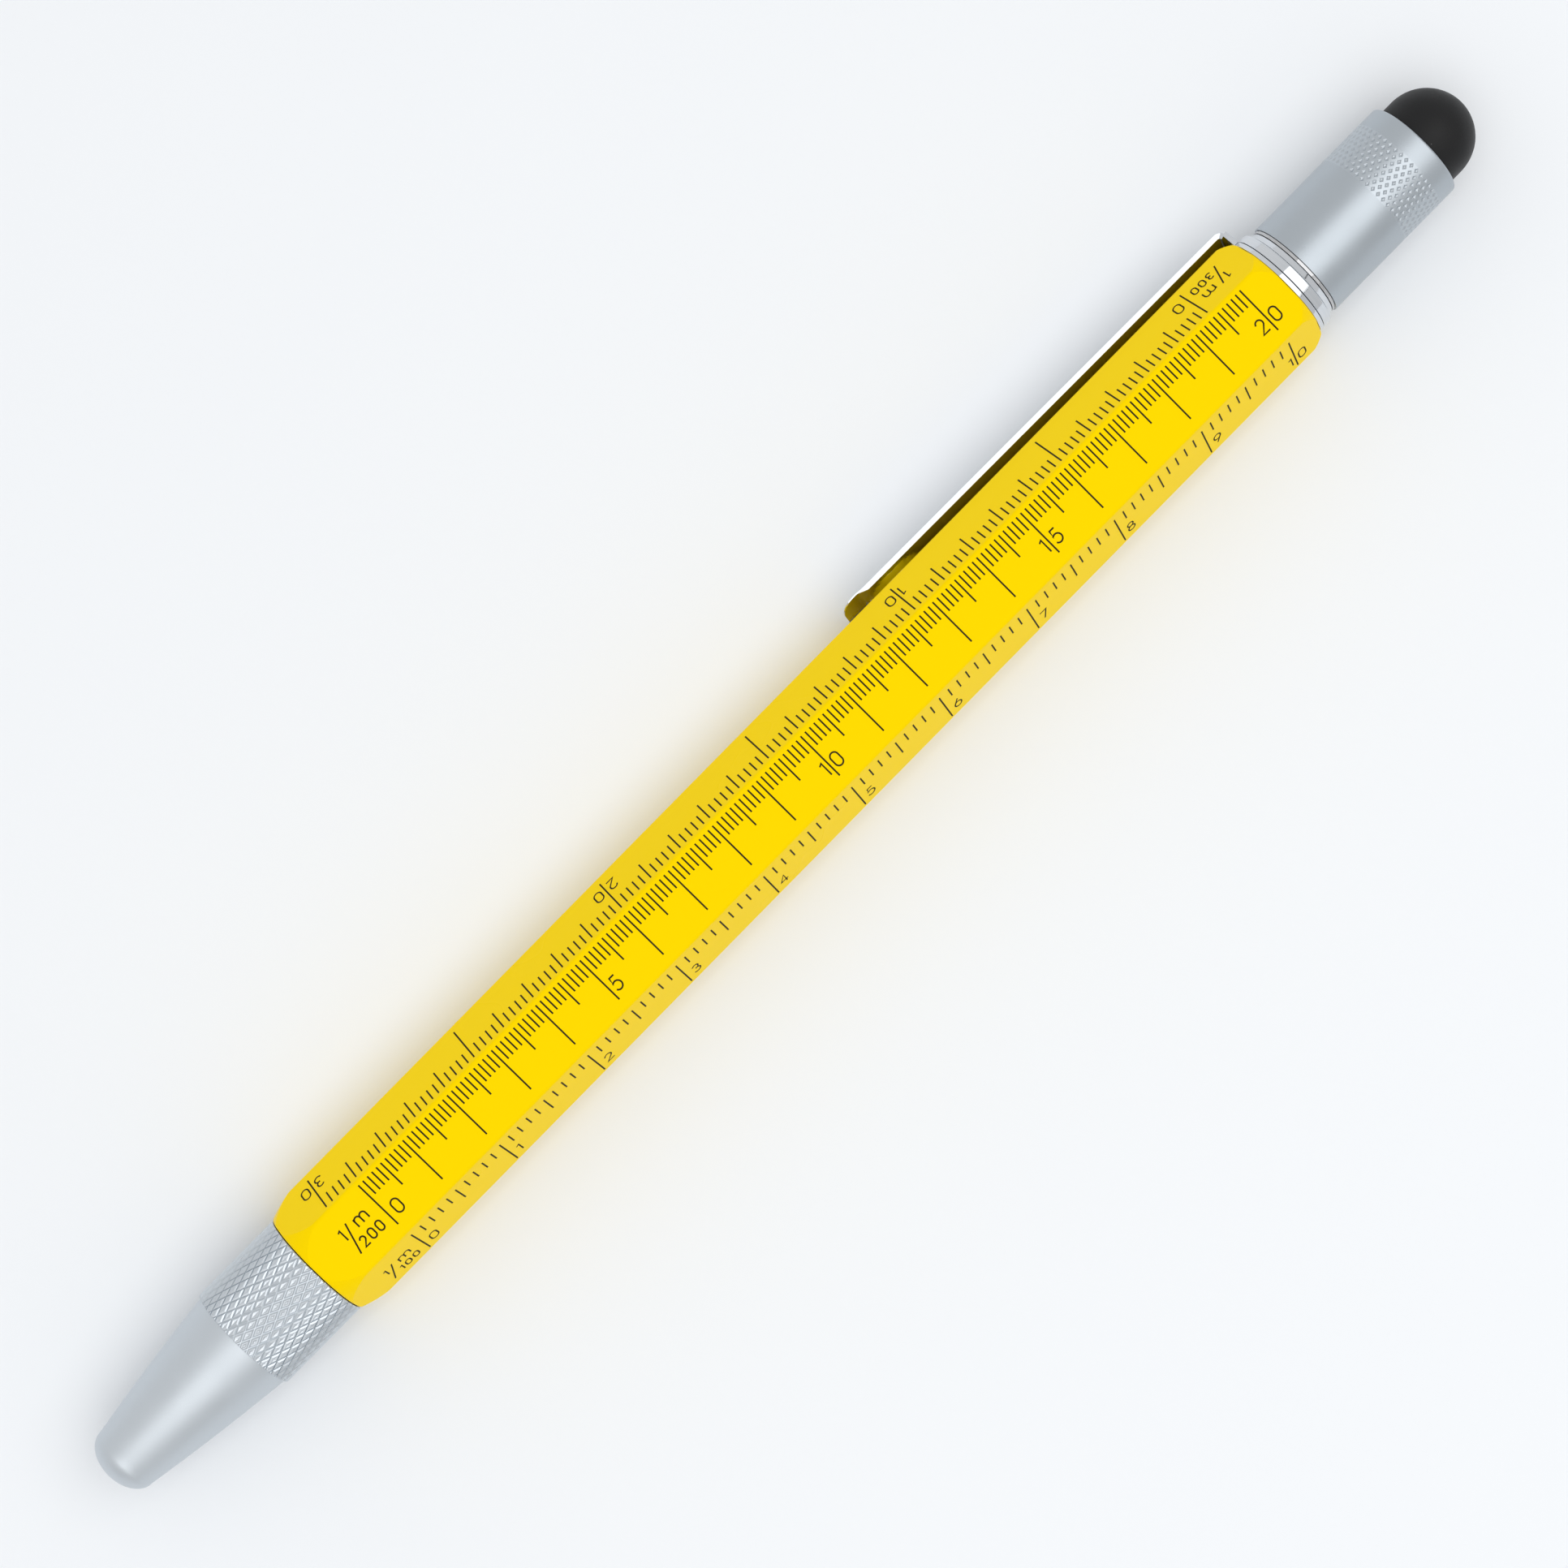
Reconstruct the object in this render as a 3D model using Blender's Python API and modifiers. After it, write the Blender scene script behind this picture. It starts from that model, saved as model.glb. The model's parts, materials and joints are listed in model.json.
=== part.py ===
"""Multi tool pen: a hexagonal scale barrel with a pocket clip, a screw cap over a fountain nib in front,
and a stylus cap at the back that hides a reversible screwdriver bit.

Everything is modelled along the pen's own axis, which runs in +X from the front cap to the stylus, with
station 0 at the barrel's front end and the 1/200 scale's face upward. One empty then lays the pen on its
side: it rests on a long edge of the barrel and on the clip's lower edge, as the real one does.
"""
import math

import bmesh
import bpy
from mathutils import Matrix, Vector

MM = 0.001
HEX = 6
FLAT_TO_CORNER = 1 / math.cos(math.pi / HEX)

# Clearances and drawing settings
SEAM = 0.1 * MM  # what end faces that meet keep between them
PRESS_CLEARANCE = 0.05 * MM  # round pieces that are pressed or glued together
RUNNING_CLEARANCE = 0.08 * MM  # round pieces that turn or slide in each other, threads too
SHEET_CLEARANCE = 0.1 * MM  # the clip's arm beside its ring, and its bump above the barrel
OVERRUN = 1 * MM  # how far a cutter runs past what it cuts
MERGE_DISTANCE = 0.001 * MM
SEGMENTS = 32
SMALL_SEGMENTS = 16

# Barrel
BARREL_FLATS = 9.95 * MM
BARREL_EDGE_FILLET = 0.4 * MM
BARREL_FILLET_STEPS = 6
BARREL_LENGTH = 110.4 * MM
BARREL_WALL = 1.175 * MM  # at the middle of a flat
BARREL_FRONT_DIAMETER = 10.04 * MM  # where the turned ends stop
BARREL_FRONT_TURN_LENGTH = 3.5 * MM
BARREL_REAR_DIAMETER = 10.26 * MM
BARREL_REAR_TURN_LENGTH = 1.7 * MM
TURN_STEPS = 4

# Threaded bushings in the two ends of the barrel
BUSHING_SEAT_STEP = 0.4 * MM
BUSHING_WALL = 0.65 * MM
BUSHING_LENGTH = 8 * MM
SEAL_SPACE = 1 * MM  # in front of the front bushing, where the section's seal sits

# Front cap
CAP_KNURL_DIAMETER = 9.94 * MM
CAP_KNURL_LENGTH = 8.35 * MM
CAP_KNURL_CHAMFER = 0.2 * MM
CAP_CONE_BASE_DIAMETER = 9.5 * MM
CAP_CONE_TIP_DIAMETER = 5.86 * MM
CAP_CONE_LENGTH = 13.4 * MM
CAP_CONE_CROWN = 0.1 * MM  # how far the cone swells past a straight one
CAP_CONE_STEPS = 4
CAP_DOME_HEIGHT = 1.93 * MM
CAP_DOME_STEPS = 5
CAP_THREAD_WALL = 0.8 * MM
CAP_THREAD_LENGTH = 6 * MM
CAP_WALL = 0.75 * MM

# Liner that keeps the nib wet inside the cap
LINER_WALL = 0.5 * MM
LINER_SETBACK = 0.4 * MM  # behind the end of the cap's cone

# Grip section, which screws into the barrel and carries the nib and the converter
SECTION_COLLAR_LENGTH = 5 * MM
SECTION_SHANK_LENGTH = 7 * MM
SECTION_GRIP_DIAMETER = 7.3 * MM
SECTION_WALL = 0.9 * MM
SEAL_THICKNESS = 0.55 * MM
SEAL_RING_STEPS = 6

# Nib unit
HOUSING_WALL = 0.4 * MM
HOUSING_NIPPLE_DIAMETER = 2.5 * MM
HOUSING_NIPPLE_LENGTH = 4 * MM
HOUSING_SHOULDER = 0.8 * MM
HOUSING_TAIL = 1 * MM  # how far the housing runs past the section's shank
FEED_TAIL_DIAMETER = 1.4 * MM
FEED_FINS = 5
FEED_FIN_PITCH = 0.7 * MM
FEED_FIN_DEPTH = 0.4 * MM
FEED_BEAK_DIAMETER = 0.6 * MM
FEED_BEAK_SETBACK = 1.8 * MM  # behind the nib's point
NIB_THICKNESS = 0.2 * MM
NIB_SHANK_LENGTH = 8 * MM  # what is held in the housing
NIB_SHOULDER_LENGTH = 1.6 * MM
NIB_WRAP_ANGLE = math.radians(70)
NIB_POINT_ANGLE = math.radians(12)
NIB_DROP = 0.9 * MM
NIB_POINT_CLEARANCE = 1.2 * MM
NIB_SLIT_WIDTH = 0.1 * MM
NIB_BREATHER_DIAMETER = 0.8 * MM
NIB_STEPS_ALONG = 12
NIB_STEPS_ROUND = 10

# Converter, the piston filler that plugs onto the nib unit
SLEEVE_CLEARANCE = 0.2 * MM  # to the front bushing's bore, through which it is drawn
SLEEVE_WALL = 0.25 * MM
SLEEVE_LENGTH = 11 * MM
SLEEVE_LAP = 4 * MM  # how far it laps over the tube
SLEEVE_COLLAR_WALL = 1.3 * MM
TUBE_WALL = 0.5 * MM
TUBE_NECK_WALL = 0.9 * MM
TUBE_NECK_LENGTH = 4 * MM
TUBE_BODY_LENGTH = 26 * MM
PISTON_LENGTH = 4 * MM
PISTON_LIP_LENGTH = 1 * MM
PISTON_GROOVE_DEPTH = 0.5 * MM
PISTON_SETBACK = 1.5 * MM  # from the tube's rear end
PISTON_END_CLEARANCE = 0.5 * MM  # to the tube's front wall when the tube is empty
ROD_DIAMETER = 1.6 * MM
ROD_SPARE = 1.5 * MM  # what the knob still holds of the rod then
KNOB_GRIP_RIBS = 12
KNOB_RIB_DEPTH = 0.25 * MM
KNOB_RIB_WIDTH = 0.7 * MM
KNOB_END_WALL = 1 * MM

# Clip, one strip of spring sheet: a ring under the collar, a bend, and an arm along one flat
CLIP_SHEET = 0.5 * MM
CLIP_RING_DIAMETER = 9.9 * MM
CLIP_WIDTH = 5.75 * MM
CLIP_HEIGHT = 6.3 * MM  # from the pen's axis to the arm's outer face
CLIP_ARM_LENGTH = 43.8 * MM  # over the bend
CLIP_BEND_RADIUS = 0.7 * MM
CLIP_BEND_STEPS = 4
CLIP_TIP_SHEET = 0.2 * MM
CLIP_TIP_TAPER_LENGTH = 4 * MM
CLIP_TIP_ROUND_SHARE = 0.9  # of half the clip's width
CLIP_TIP_STEPS = 6
CLIP_BUMP_LENGTH = 5.1 * MM
CLIP_BUMP_WIDTH = 3.6 * MM
CLIP_BUMP_SETBACK = 2.5 * MM
CLIP_FACE_ANGLE = math.radians(120)  # from the 1/200 face, toward +Y

# Collar between the clip's ring and the stylus cap
COLLAR_FRONT_DIAMETER = 9.9 * MM
COLLAR_REAR_DIAMETER = 9.2 * MM
COLLAR_LENGTH = 1.1 * MM
COLLAR_LIP_RADIUS = 0.3 * MM
COLLAR_LIP_START = 75  # degrees from +X, where the slope toward the cap meets the lip
COLLAR_LIP_STEPS = 4
COLLAR_CLEARANCE = 0.15 * MM  # to the tool stem inside it

# Tool stem, which holds the bit and clamps the collar and the clip
STEM_FLANGE_DIAMETER = 8.9 * MM
STEM_FLANGE_THICKNESS = 0.25 * MM
STEM_SPIGOT_LENGTH = 4.6 * MM
STEM_BODY_LENGTH = 8 * MM  # past the bushing, inside the barrel
STEM_BODY_WALL = 0.6 * MM  # at the corners of its hexagonal socket
STEM_FLOOR = 1.2 * MM

# Screwdriver bit, flat at the hidden end and crossed at the end under the stylus cap
BIT_FLATS = 3.5 * MM
BIT_REACH = 5.5 * MM  # past the stem's mouth
BIT_TAPER_LENGTH = 1.6 * MM
BIT_TIP_DIAMETER = 0.8 * MM
BIT_NECK_DIAMETER = 2.6 * MM
BIT_NECK_LENGTH = 3 * MM
BIT_SHOULDER_LENGTH = 0.4 * MM
BIT_FLUTES = 4
BIT_CROSS_WEB = 0.35 * MM  # from the axis to the bottom of each flute
BIT_BLADE_THICKNESS = 0.6 * MM
BIT_RING_THICKNESS = 0.4 * MM
BIT_RING_GROOVE_LENGTH = 0.7 * MM
BIT_END_CLEARANCE = 0.3 * MM

# Stylus cap
STYLUS_CAP_DIAMETER = 9.14 * MM
STYLUS_CAP_LENGTH = 13.75 * MM
STYLUS_CAP_WALL = 0.52 * MM
STYLUS_CAP_ROUND = 0.3 * MM
STYLUS_CAP_ROUND_STEPS = 3
INSERT_WALL = 0.65 * MM
INSERT_LENGTH = 4 * MM
INSERT_SETBACK = 1.4 * MM
STEM_SEAL_THICKNESS = 0.5 * MM
CORE_FLANGE_LENGTH = 1.8 * MM
CORE_NIPPLE_DIAMETER = 5.2 * MM
CORE_NIPPLE_LENGTH = 3 * MM
TIP_DIAMETER = 7.96 * MM
TIP_BAND_LENGTH = 1.35 * MM  # straight part that shows behind the cap
TIP_TUCK_LENGTH = 1 * MM  # straight part inside the cap
TIP_WALL = 0.75 * MM
TIP_STEPS = 7

# Stations along the axis, from the sizes above
CAP_OPEN_END = -SEAM
CAP_KNURL_END = CAP_OPEN_END - CAP_KNURL_LENGTH
CAP_CONE_END = CAP_KNURL_END - CAP_CONE_LENGTH
CAP_NOSE = CAP_CONE_END - CAP_DOME_HEIGHT
CAP_CAVITY_END = CAP_CONE_END + CAP_WALL - CAP_DOME_HEIGHT / 2
SECTION_REAR_FACE = -SEAM
SECTION_COLLAR_END = SECTION_REAR_FACE - SECTION_COLLAR_LENGTH
SECTION_SHANK_END = SECTION_REAR_FACE + SECTION_SHANK_LENGTH
LINER_MOUTH = CAP_KNURL_END - LINER_SETBACK
SECTION_FRONT = LINER_MOUTH + SEAM
LINER_FLOOR = CAP_CAVITY_END + SEAM + LINER_WALL
NIB_POINT = LINER_FLOOR + NIB_POINT_CLEARANCE
HOUSING_FRONT = SECTION_FRONT + SEAM
HOUSING_BACK = SECTION_SHANK_END + HOUSING_TAIL
NIPPLE_END = HOUSING_BACK + HOUSING_NIPPLE_LENGTH
NIB_BACK = HOUSING_FRONT + NIB_SHANK_LENGTH
NIB_SHOULDER = HOUSING_FRONT - NIB_SHOULDER_LENGTH
FEED_ROOT_END = NIB_BACK + SEAM
TUBE_FRONT = HOUSING_BACK + SEAM
TUBE_SHOULDER = TUBE_FRONT + TUBE_NECK_LENGTH + SEAM
TUBE_END = TUBE_SHOULDER + TUBE_BODY_LENGTH
SLEEVE_FRONT = TUBE_END - SLEEVE_LAP
SLEEVE_STEP = TUBE_END + SEAM
SLEEVE_END = SLEEVE_FRONT + SLEEVE_LENGTH
KNOB_FRONT = SLEEVE_STEP + SEAM
KNOB_SHOULDER = SLEEVE_END + SEAM
TUBE_BORE_FRONT = TUBE_SHOULDER + TUBE_WALL
PISTON_BACK = TUBE_END - PISTON_SETBACK
PISTON_FRONT = PISTON_BACK - PISTON_LENGTH
PISTON_TRAVEL = PISTON_FRONT - TUBE_BORE_FRONT - PISTON_END_CLEARANCE
ROD_END = KNOB_FRONT + PISTON_TRAVEL + ROD_SPARE
KNOB_BORE_END = ROD_END + SEAM
KNOB_END = KNOB_BORE_END + KNOB_END_WALL
BARREL_END = BARREL_LENGTH
CLIP_RING_FRONT = BARREL_END + SEAM
CLIP_RING_BACK = CLIP_RING_FRONT + CLIP_SHEET
COLLAR_FRONT = CLIP_RING_BACK + SEAM
COLLAR_BACK = COLLAR_FRONT + COLLAR_LENGTH
FLANGE_FRONT = COLLAR_BACK + SEAM
FLANGE_BACK = FLANGE_FRONT + STEM_FLANGE_THICKNESS
STEM_MOUTH = FLANGE_BACK + STEM_SPIGOT_LENGTH
REAR_BUSHING_BACK = BARREL_END - SEAM
REAR_BUSHING_FRONT = REAR_BUSHING_BACK - BUSHING_LENGTH
STEM_FRONT = REAR_BUSHING_FRONT - STEM_BODY_LENGTH
SOCKET_FLOOR = STEM_FRONT + STEM_FLOOR
BIT_FRONT = SOCKET_FLOOR + BIT_END_CLEARANCE
BIT_BACK = STEM_MOUTH + BIT_REACH
BIT_MIDDLE = (BIT_FRONT + BIT_BACK) / 2
STYLUS_CAP_FRONT = FLANGE_BACK + SEAM
STYLUS_CAP_BACK = STYLUS_CAP_FRONT + STYLUS_CAP_LENGTH
INSERT_FRONT = STYLUS_CAP_FRONT + INSERT_SETBACK
INSERT_BACK = INSERT_FRONT + INSERT_LENGTH
TIP_FRONT = STYLUS_CAP_BACK - TIP_TUCK_LENGTH
CORE_SHOULDER = TIP_FRONT - SEAM
CORE_FRONT = CORE_SHOULDER - CORE_FLANGE_LENGTH
CORE_END = CORE_SHOULDER + CORE_NIPPLE_LENGTH
TIP_DOME_START = STYLUS_CAP_BACK + TIP_BAND_LENGTH

# Radii that follow from one another, outside to inside
BARREL_APOTHEM = BARREL_FLATS / 2
BARREL_BORE_RADIUS = BARREL_APOTHEM - BARREL_WALL
BUSHING_SEAT_RADIUS = BARREL_BORE_RADIUS + BUSHING_SEAT_STEP
BUSHING_RADIUS = BUSHING_SEAT_RADIUS - PRESS_CLEARANCE
BUSHING_BORE_RADIUS = BUSHING_RADIUS - BUSHING_WALL
SHANK_RADIUS = BUSHING_BORE_RADIUS - RUNNING_CLEARANCE
SECTION_BORE_RADIUS = SHANK_RADIUS - SECTION_WALL
HOUSING_RADIUS = SECTION_BORE_RADIUS - PRESS_CLEARANCE
HOUSING_BORE_RADIUS = HOUSING_RADIUS - HOUSING_WALL
NIB_RADIUS = HOUSING_BORE_RADIUS - PRESS_CLEARANCE
FEED_RADIUS = NIB_RADIUS - NIB_THICKNESS - PRESS_CLEARANCE
NIPPLE_RADIUS = HOUSING_NIPPLE_DIAMETER / 2
FEED_TAIL_RADIUS = FEED_TAIL_DIAMETER / 2
NIPPLE_BORE_RADIUS = FEED_TAIL_RADIUS + PRESS_CLEARANCE
SLEEVE_RADIUS = BUSHING_BORE_RADIUS - SLEEVE_CLEARANCE
TUBE_RADIUS = SLEEVE_RADIUS - SLEEVE_WALL - PRESS_CLEARANCE
TUBE_BORE_RADIUS = TUBE_RADIUS - TUBE_WALL
TUBE_MOUTH_RADIUS = NIPPLE_RADIUS + PRESS_CLEARANCE
PISTON_RADIUS = TUBE_BORE_RADIUS - RUNNING_CLEARANCE
ROD_RADIUS = ROD_DIAMETER / 2
KNOB_BORE_RADIUS = ROD_RADIUS + RUNNING_CLEARANCE
SLEEVE_COLLAR_RADIUS = SLEEVE_RADIUS - SLEEVE_COLLAR_WALL
KNOB_SHANK_RADIUS = SLEEVE_COLLAR_RADIUS - RUNNING_CLEARANCE
CAP_KNURL_RADIUS = CAP_KNURL_DIAMETER / 2
CAP_THREAD_RADIUS = CAP_KNURL_RADIUS - CAP_THREAD_WALL
SECTION_COLLAR_RADIUS = CAP_THREAD_RADIUS - RUNNING_CLEARANCE
STYLUS_CAP_RADIUS = STYLUS_CAP_DIAMETER / 2
STYLUS_BORE_RADIUS = STYLUS_CAP_RADIUS - STYLUS_CAP_WALL
INSERT_RADIUS = STYLUS_BORE_RADIUS - PRESS_CLEARANCE
INSERT_BORE_RADIUS = INSERT_RADIUS - INSERT_WALL
SPIGOT_RADIUS = INSERT_BORE_RADIUS - RUNNING_CLEARANCE
RING_BORE_RADIUS = SHANK_RADIUS + COLLAR_CLEARANCE
CORE_RADIUS = STYLUS_BORE_RADIUS - PRESS_CLEARANCE
CORE_NIPPLE_RADIUS = CORE_NIPPLE_DIAMETER / 2
TIP_RADIUS = TIP_DIAMETER / 2
BIT_CORNER_RADIUS = BIT_FLATS / 2 * FLAT_TO_CORNER
SOCKET_FLATS = BIT_FLATS + 2 * PRESS_CLEARANCE
SOCKET_CORNER_RADIUS = SOCKET_FLATS / 2 * FLAT_TO_CORNER
CLIP_INNER_HEIGHT = CLIP_HEIGHT - CLIP_SHEET

pen_axis = None
parts = None
cutters = None


def clear_scene():
    """Removes what the scene starts with and makes the two collections and the pen's axis."""
    global pen_axis, parts, cutters
    for old in list(bpy.data.objects):
        bpy.data.objects.remove(old, do_unlink=True)
    parts = bpy.data.collections.new("multi_tool_pen")
    cutters = bpy.data.collections.new("cutters")
    bpy.context.scene.collection.children.link(parts)
    bpy.context.scene.collection.children.link(cutters)
    pen_axis = bpy.data.objects.new("pen_axis", None)
    parts.objects.link(pen_axis)


def paint(name, colour, roughness, metallic=0.0, alpha=1.0):
    """Returns a Principled material of the given colour."""
    material = bpy.data.materials.new(name)
    material.use_nodes = True
    shader = material.node_tree.nodes["Principled BSDF"]
    shader.inputs["Base Color"].default_value = (*colour, 1)
    shader.inputs["Roughness"].default_value = roughness
    shader.inputs["Metallic"].default_value = metallic
    shader.inputs["Alpha"].default_value = alpha
    return material


def add_piece(name, mesh, material=None, station=0.0, collection=None):
    """Puts a mesh on the pen's axis as an object of its own."""
    piece = bpy.data.objects.new(name, mesh)
    (collection or parts).objects.link(piece)
    piece.parent = pen_axis
    piece.location.x = station
    if material:
        mesh.materials.append(material)
    return piece


def mesh_from(name, shape):
    """Turns a bmesh into a mesh and frees it."""
    mesh = bpy.data.meshes.new(name)
    shape.to_mesh(mesh)
    shape.free()
    return mesh


def arc(centre, radii, start, end, steps):
    """Points of (station, radius) on an ellipse arc, with angles in degrees from +X toward the outside."""
    points = []
    for step in range(steps + 1):
        angle = math.radians(start + (end - start) * step / steps)
        points.append((centre[0] + radii[0] * math.cos(angle), centre[1] + radii[1] * math.sin(angle)))
    return points


def turned(name, outline, material=None, station=0.0, segments=SEGMENTS, collection=None):
    """A turned solid. The outline holds (station, radius) points that run from the rear to the front
    along the outside; it closes on itself, unless it starts and ends on the axis."""
    shape = bmesh.new()
    corners = [shape.verts.new((radius, 0, along - station)) for along, radius in outline]
    for first, second in zip(corners, corners[1:]):
        shape.edges.new((first, second))
    if outline[0][1] > 0:
        shape.edges.new((corners[-1], corners[0]))
    piece = add_piece(name, mesh_from(name, shape), material, station, collection)
    piece.rotation_euler.y = math.pi / 2
    screw = piece.modifiers.new("turn", "SCREW")
    screw.axis = "Z"
    screw.steps = segments
    screw.render_steps = segments
    screw.use_merge_vertices = True
    screw.merge_threshold = MERGE_DISTANCE
    screw.use_smooth_shade = True
    return piece


def hex_bar(name, corner_radius, front, back, material=None, collection=None, fillet=0.0, steps=1):
    """A hexagonal bar along the axis with a flat on top, its long edges rounded where a fillet is given."""
    shape = bmesh.new()
    bmesh.ops.create_cone(shape, cap_ends=True, segments=HEX, radius1=corner_radius,
                          radius2=corner_radius, depth=back - front)
    turn_to_flat = Matrix.Rotation(math.pi / HEX, 4, "Z") @ Matrix.Rotation(math.pi / 2, 4, "Z")
    along_axis = Matrix.Rotation(math.pi / 2, 4, "Y")
    bmesh.ops.transform(shape, matrix=along_axis @ turn_to_flat, verts=shape.verts)
    if fillet:
        long_edges = [edge for edge in shape.edges
                      if abs(edge.verts[0].co.x - edge.verts[1].co.x) > MERGE_DISTANCE]
        # a bevel's offset runs along the faces beside the edge: a fillet's tangent length
        offset = fillet * math.tan(math.pi / HEX)
        bmesh.ops.bevel(shape, geom=long_edges, offset=offset, segments=steps, profile=0.5,
                        affect="EDGES")
    return add_piece(name, mesh_from(name, shape), material, (front + back) / 2, collection)


def box_cutter(name, size, centre):
    """A block that only cuts, or is joined to a piece, about its centre."""
    shape = bmesh.new()
    bmesh.ops.create_cube(shape, size=1)
    bmesh.ops.scale(shape, vec=size, verts=shape.verts)
    cutter = add_piece(name, mesh_from(name, shape), collection=cutters)
    cutter.location = centre
    hide_cutter(cutter)
    return cutter


def hide_cutter(cutter):
    """Marks an object as one that only cuts."""
    cutter.hide_render = True
    cutter.display_type = "WIRE"


def combine(piece, other, operation="DIFFERENCE"):
    """Cuts a piece with another object, joins the two, or keeps what they share."""
    boolean = piece.modifiers.new(other.name, "BOOLEAN")
    boolean.operation = operation
    boolean.object = other
    boolean.solver = "EXACT"
    hide_cutter(other)


def make_barrel(material):
    """The hexagonal barrel, turned down at both ends and bored right through."""
    barrel = hex_bar("barrel", BARREL_APOTHEM * FLAT_TO_CORNER, 0, BARREL_END, material,
                     fillet=BARREL_EDGE_FILLET, steps=BARREL_FILLET_STEPS)
    corner = BARREL_APOTHEM * FLAT_TO_CORNER
    full = corner + OVERRUN
    envelope = [(BARREL_END + OVERRUN, 0), (BARREL_END + OVERRUN, BARREL_REAR_DIAMETER / 2)]
    envelope += turned_end(BARREL_END, -BARREL_REAR_TURN_LENGTH, BARREL_REAR_DIAMETER / 2, corner)
    envelope += [(BARREL_END - BARREL_REAR_TURN_LENGTH, full), (BARREL_FRONT_TURN_LENGTH, full)]
    envelope += reversed(turned_end(0, BARREL_FRONT_TURN_LENGTH, BARREL_FRONT_DIAMETER / 2, corner))
    envelope += [(-OVERRUN, BARREL_FRONT_DIAMETER / 2), (-OVERRUN, 0)]
    combine(barrel, turned("barrel_envelope", envelope, collection=cutters), "INTERSECT")
    rear_seat = REAR_BUSHING_FRONT - SEAM
    front_seat = SEAL_SPACE + BUSHING_LENGTH + SEAM
    bore = [(BARREL_END + OVERRUN, 0), (BARREL_END + OVERRUN, BUSHING_SEAT_RADIUS),
            (rear_seat, BUSHING_SEAT_RADIUS), (rear_seat, BARREL_BORE_RADIUS),
            (front_seat, BARREL_BORE_RADIUS), (front_seat, BUSHING_SEAT_RADIUS),
            (-OVERRUN, BUSHING_SEAT_RADIUS), (-OVERRUN, 0)]
    combine(barrel, turned("barrel_bore", bore, collection=cutters))


def turned_end(end, length, end_radius, full_radius):
    """Points of a barrel end's curve, from its end face to where it leaves the corners."""
    points = []
    for step in range(TURN_STEPS + 1):
        share = step / TURN_STEPS
        rise = math.sin(share * math.pi / 2)
        points.append((end + length * share, end_radius + (full_radius - end_radius) * rise))
    return points


def make_bushings(material):
    """Two threaded brass sleeves pressed into the barrel's ends."""
    for name, front, back in (("front_bushing", SEAL_SPACE, SEAL_SPACE + BUSHING_LENGTH),
                              ("rear_bushing", REAR_BUSHING_FRONT, REAR_BUSHING_BACK)):
        turned(name, [(back, BUSHING_RADIUS), (front, BUSHING_RADIUS), (front, BUSHING_BORE_RADIUS),
                      (back, BUSHING_BORE_RADIUS)], material, front)


def cone_radius(station, inset=0.0):
    """Radius of the front cap's cone at a station, less an inset."""
    share = (CAP_KNURL_END - station) / CAP_CONE_LENGTH
    straight = CAP_CONE_BASE_DIAMETER + (CAP_CONE_TIP_DIAMETER - CAP_CONE_BASE_DIAMETER) * share
    return straight / 2 + CAP_CONE_CROWN * math.sin(math.pi * min(max(share, 0), 1)) - inset


def cone_points(start, end, inset=0.0):
    """Points along the cone between two stations, less an inset."""
    stations = [start + (end - start) * step / CAP_CONE_STEPS for step in range(CAP_CONE_STEPS + 1)]
    return [(station, cone_radius(station, inset)) for station in stations]


def make_front_cap(shell_material, liner_material):
    """The screw cap: a satin shell with a knurled band, and the plastic liner in it."""
    chamfer = CAP_KNURL_CHAMFER
    thread_end = CAP_OPEN_END - CAP_THREAD_LENGTH
    shell = [(CAP_CAVITY_END, 0)] + cone_points(CAP_CAVITY_END, CAP_KNURL_END, CAP_WALL)
    shell += [(thread_end, cone_radius(CAP_KNURL_END, CAP_WALL)), (thread_end, CAP_THREAD_RADIUS),
              (CAP_OPEN_END, CAP_THREAD_RADIUS), (CAP_OPEN_END, CAP_KNURL_RADIUS - chamfer),
              (CAP_OPEN_END - chamfer, CAP_KNURL_RADIUS), (CAP_KNURL_END + chamfer, CAP_KNURL_RADIUS)]
    shell += cone_points(CAP_KNURL_END, CAP_CONE_END)
    shell += arc((CAP_CONE_END, 0), (CAP_DOME_HEIGHT, CAP_CONE_TIP_DIAMETER / 2), 90, 180,
                 CAP_DOME_STEPS)[1:-1]
    shell.append((CAP_NOSE, 0))
    turned("cap_shell", shell, shell_material, CAP_OPEN_END)
    gap = CAP_WALL + PRESS_CLEARANCE
    floor = CAP_CAVITY_END + SEAM
    liner = [(LINER_FLOOR, 0)] + cone_points(LINER_FLOOR, LINER_MOUTH, gap + LINER_WALL)
    liner += cone_points(LINER_MOUTH, floor, gap) + [(floor, 0)]
    turned("cap_liner", liner, liner_material, LINER_MOUTH)


def make_section(material, seal_material):
    """The grip section with its thread collar and shank, and the seal behind the collar."""
    rim = cone_radius(LINER_MOUTH, CAP_WALL + PRESS_CLEARANCE + LINER_WALL / 2)
    grip = SECTION_GRIP_DIAMETER / 2
    outline = [(SECTION_SHANK_END, SHANK_RADIUS), (SECTION_REAR_FACE, SHANK_RADIUS),
               (SECTION_REAR_FACE, SECTION_COLLAR_RADIUS), (SECTION_COLLAR_END, SECTION_COLLAR_RADIUS),
               (SECTION_COLLAR_END, grip), (SECTION_FRONT, min(rim, grip)),
               (SECTION_FRONT, SECTION_BORE_RADIUS), (SECTION_SHANK_END, SECTION_BORE_RADIUS)]
    turned("grip_section", outline, material, SECTION_REAR_FACE)
    space = BUSHING_SEAT_RADIUS - SHANK_RADIUS
    ring("section_seal", SEAL_SPACE / 2, SHANK_RADIUS + space / 2, SEAL_THICKNESS / 2, seal_material)


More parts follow.
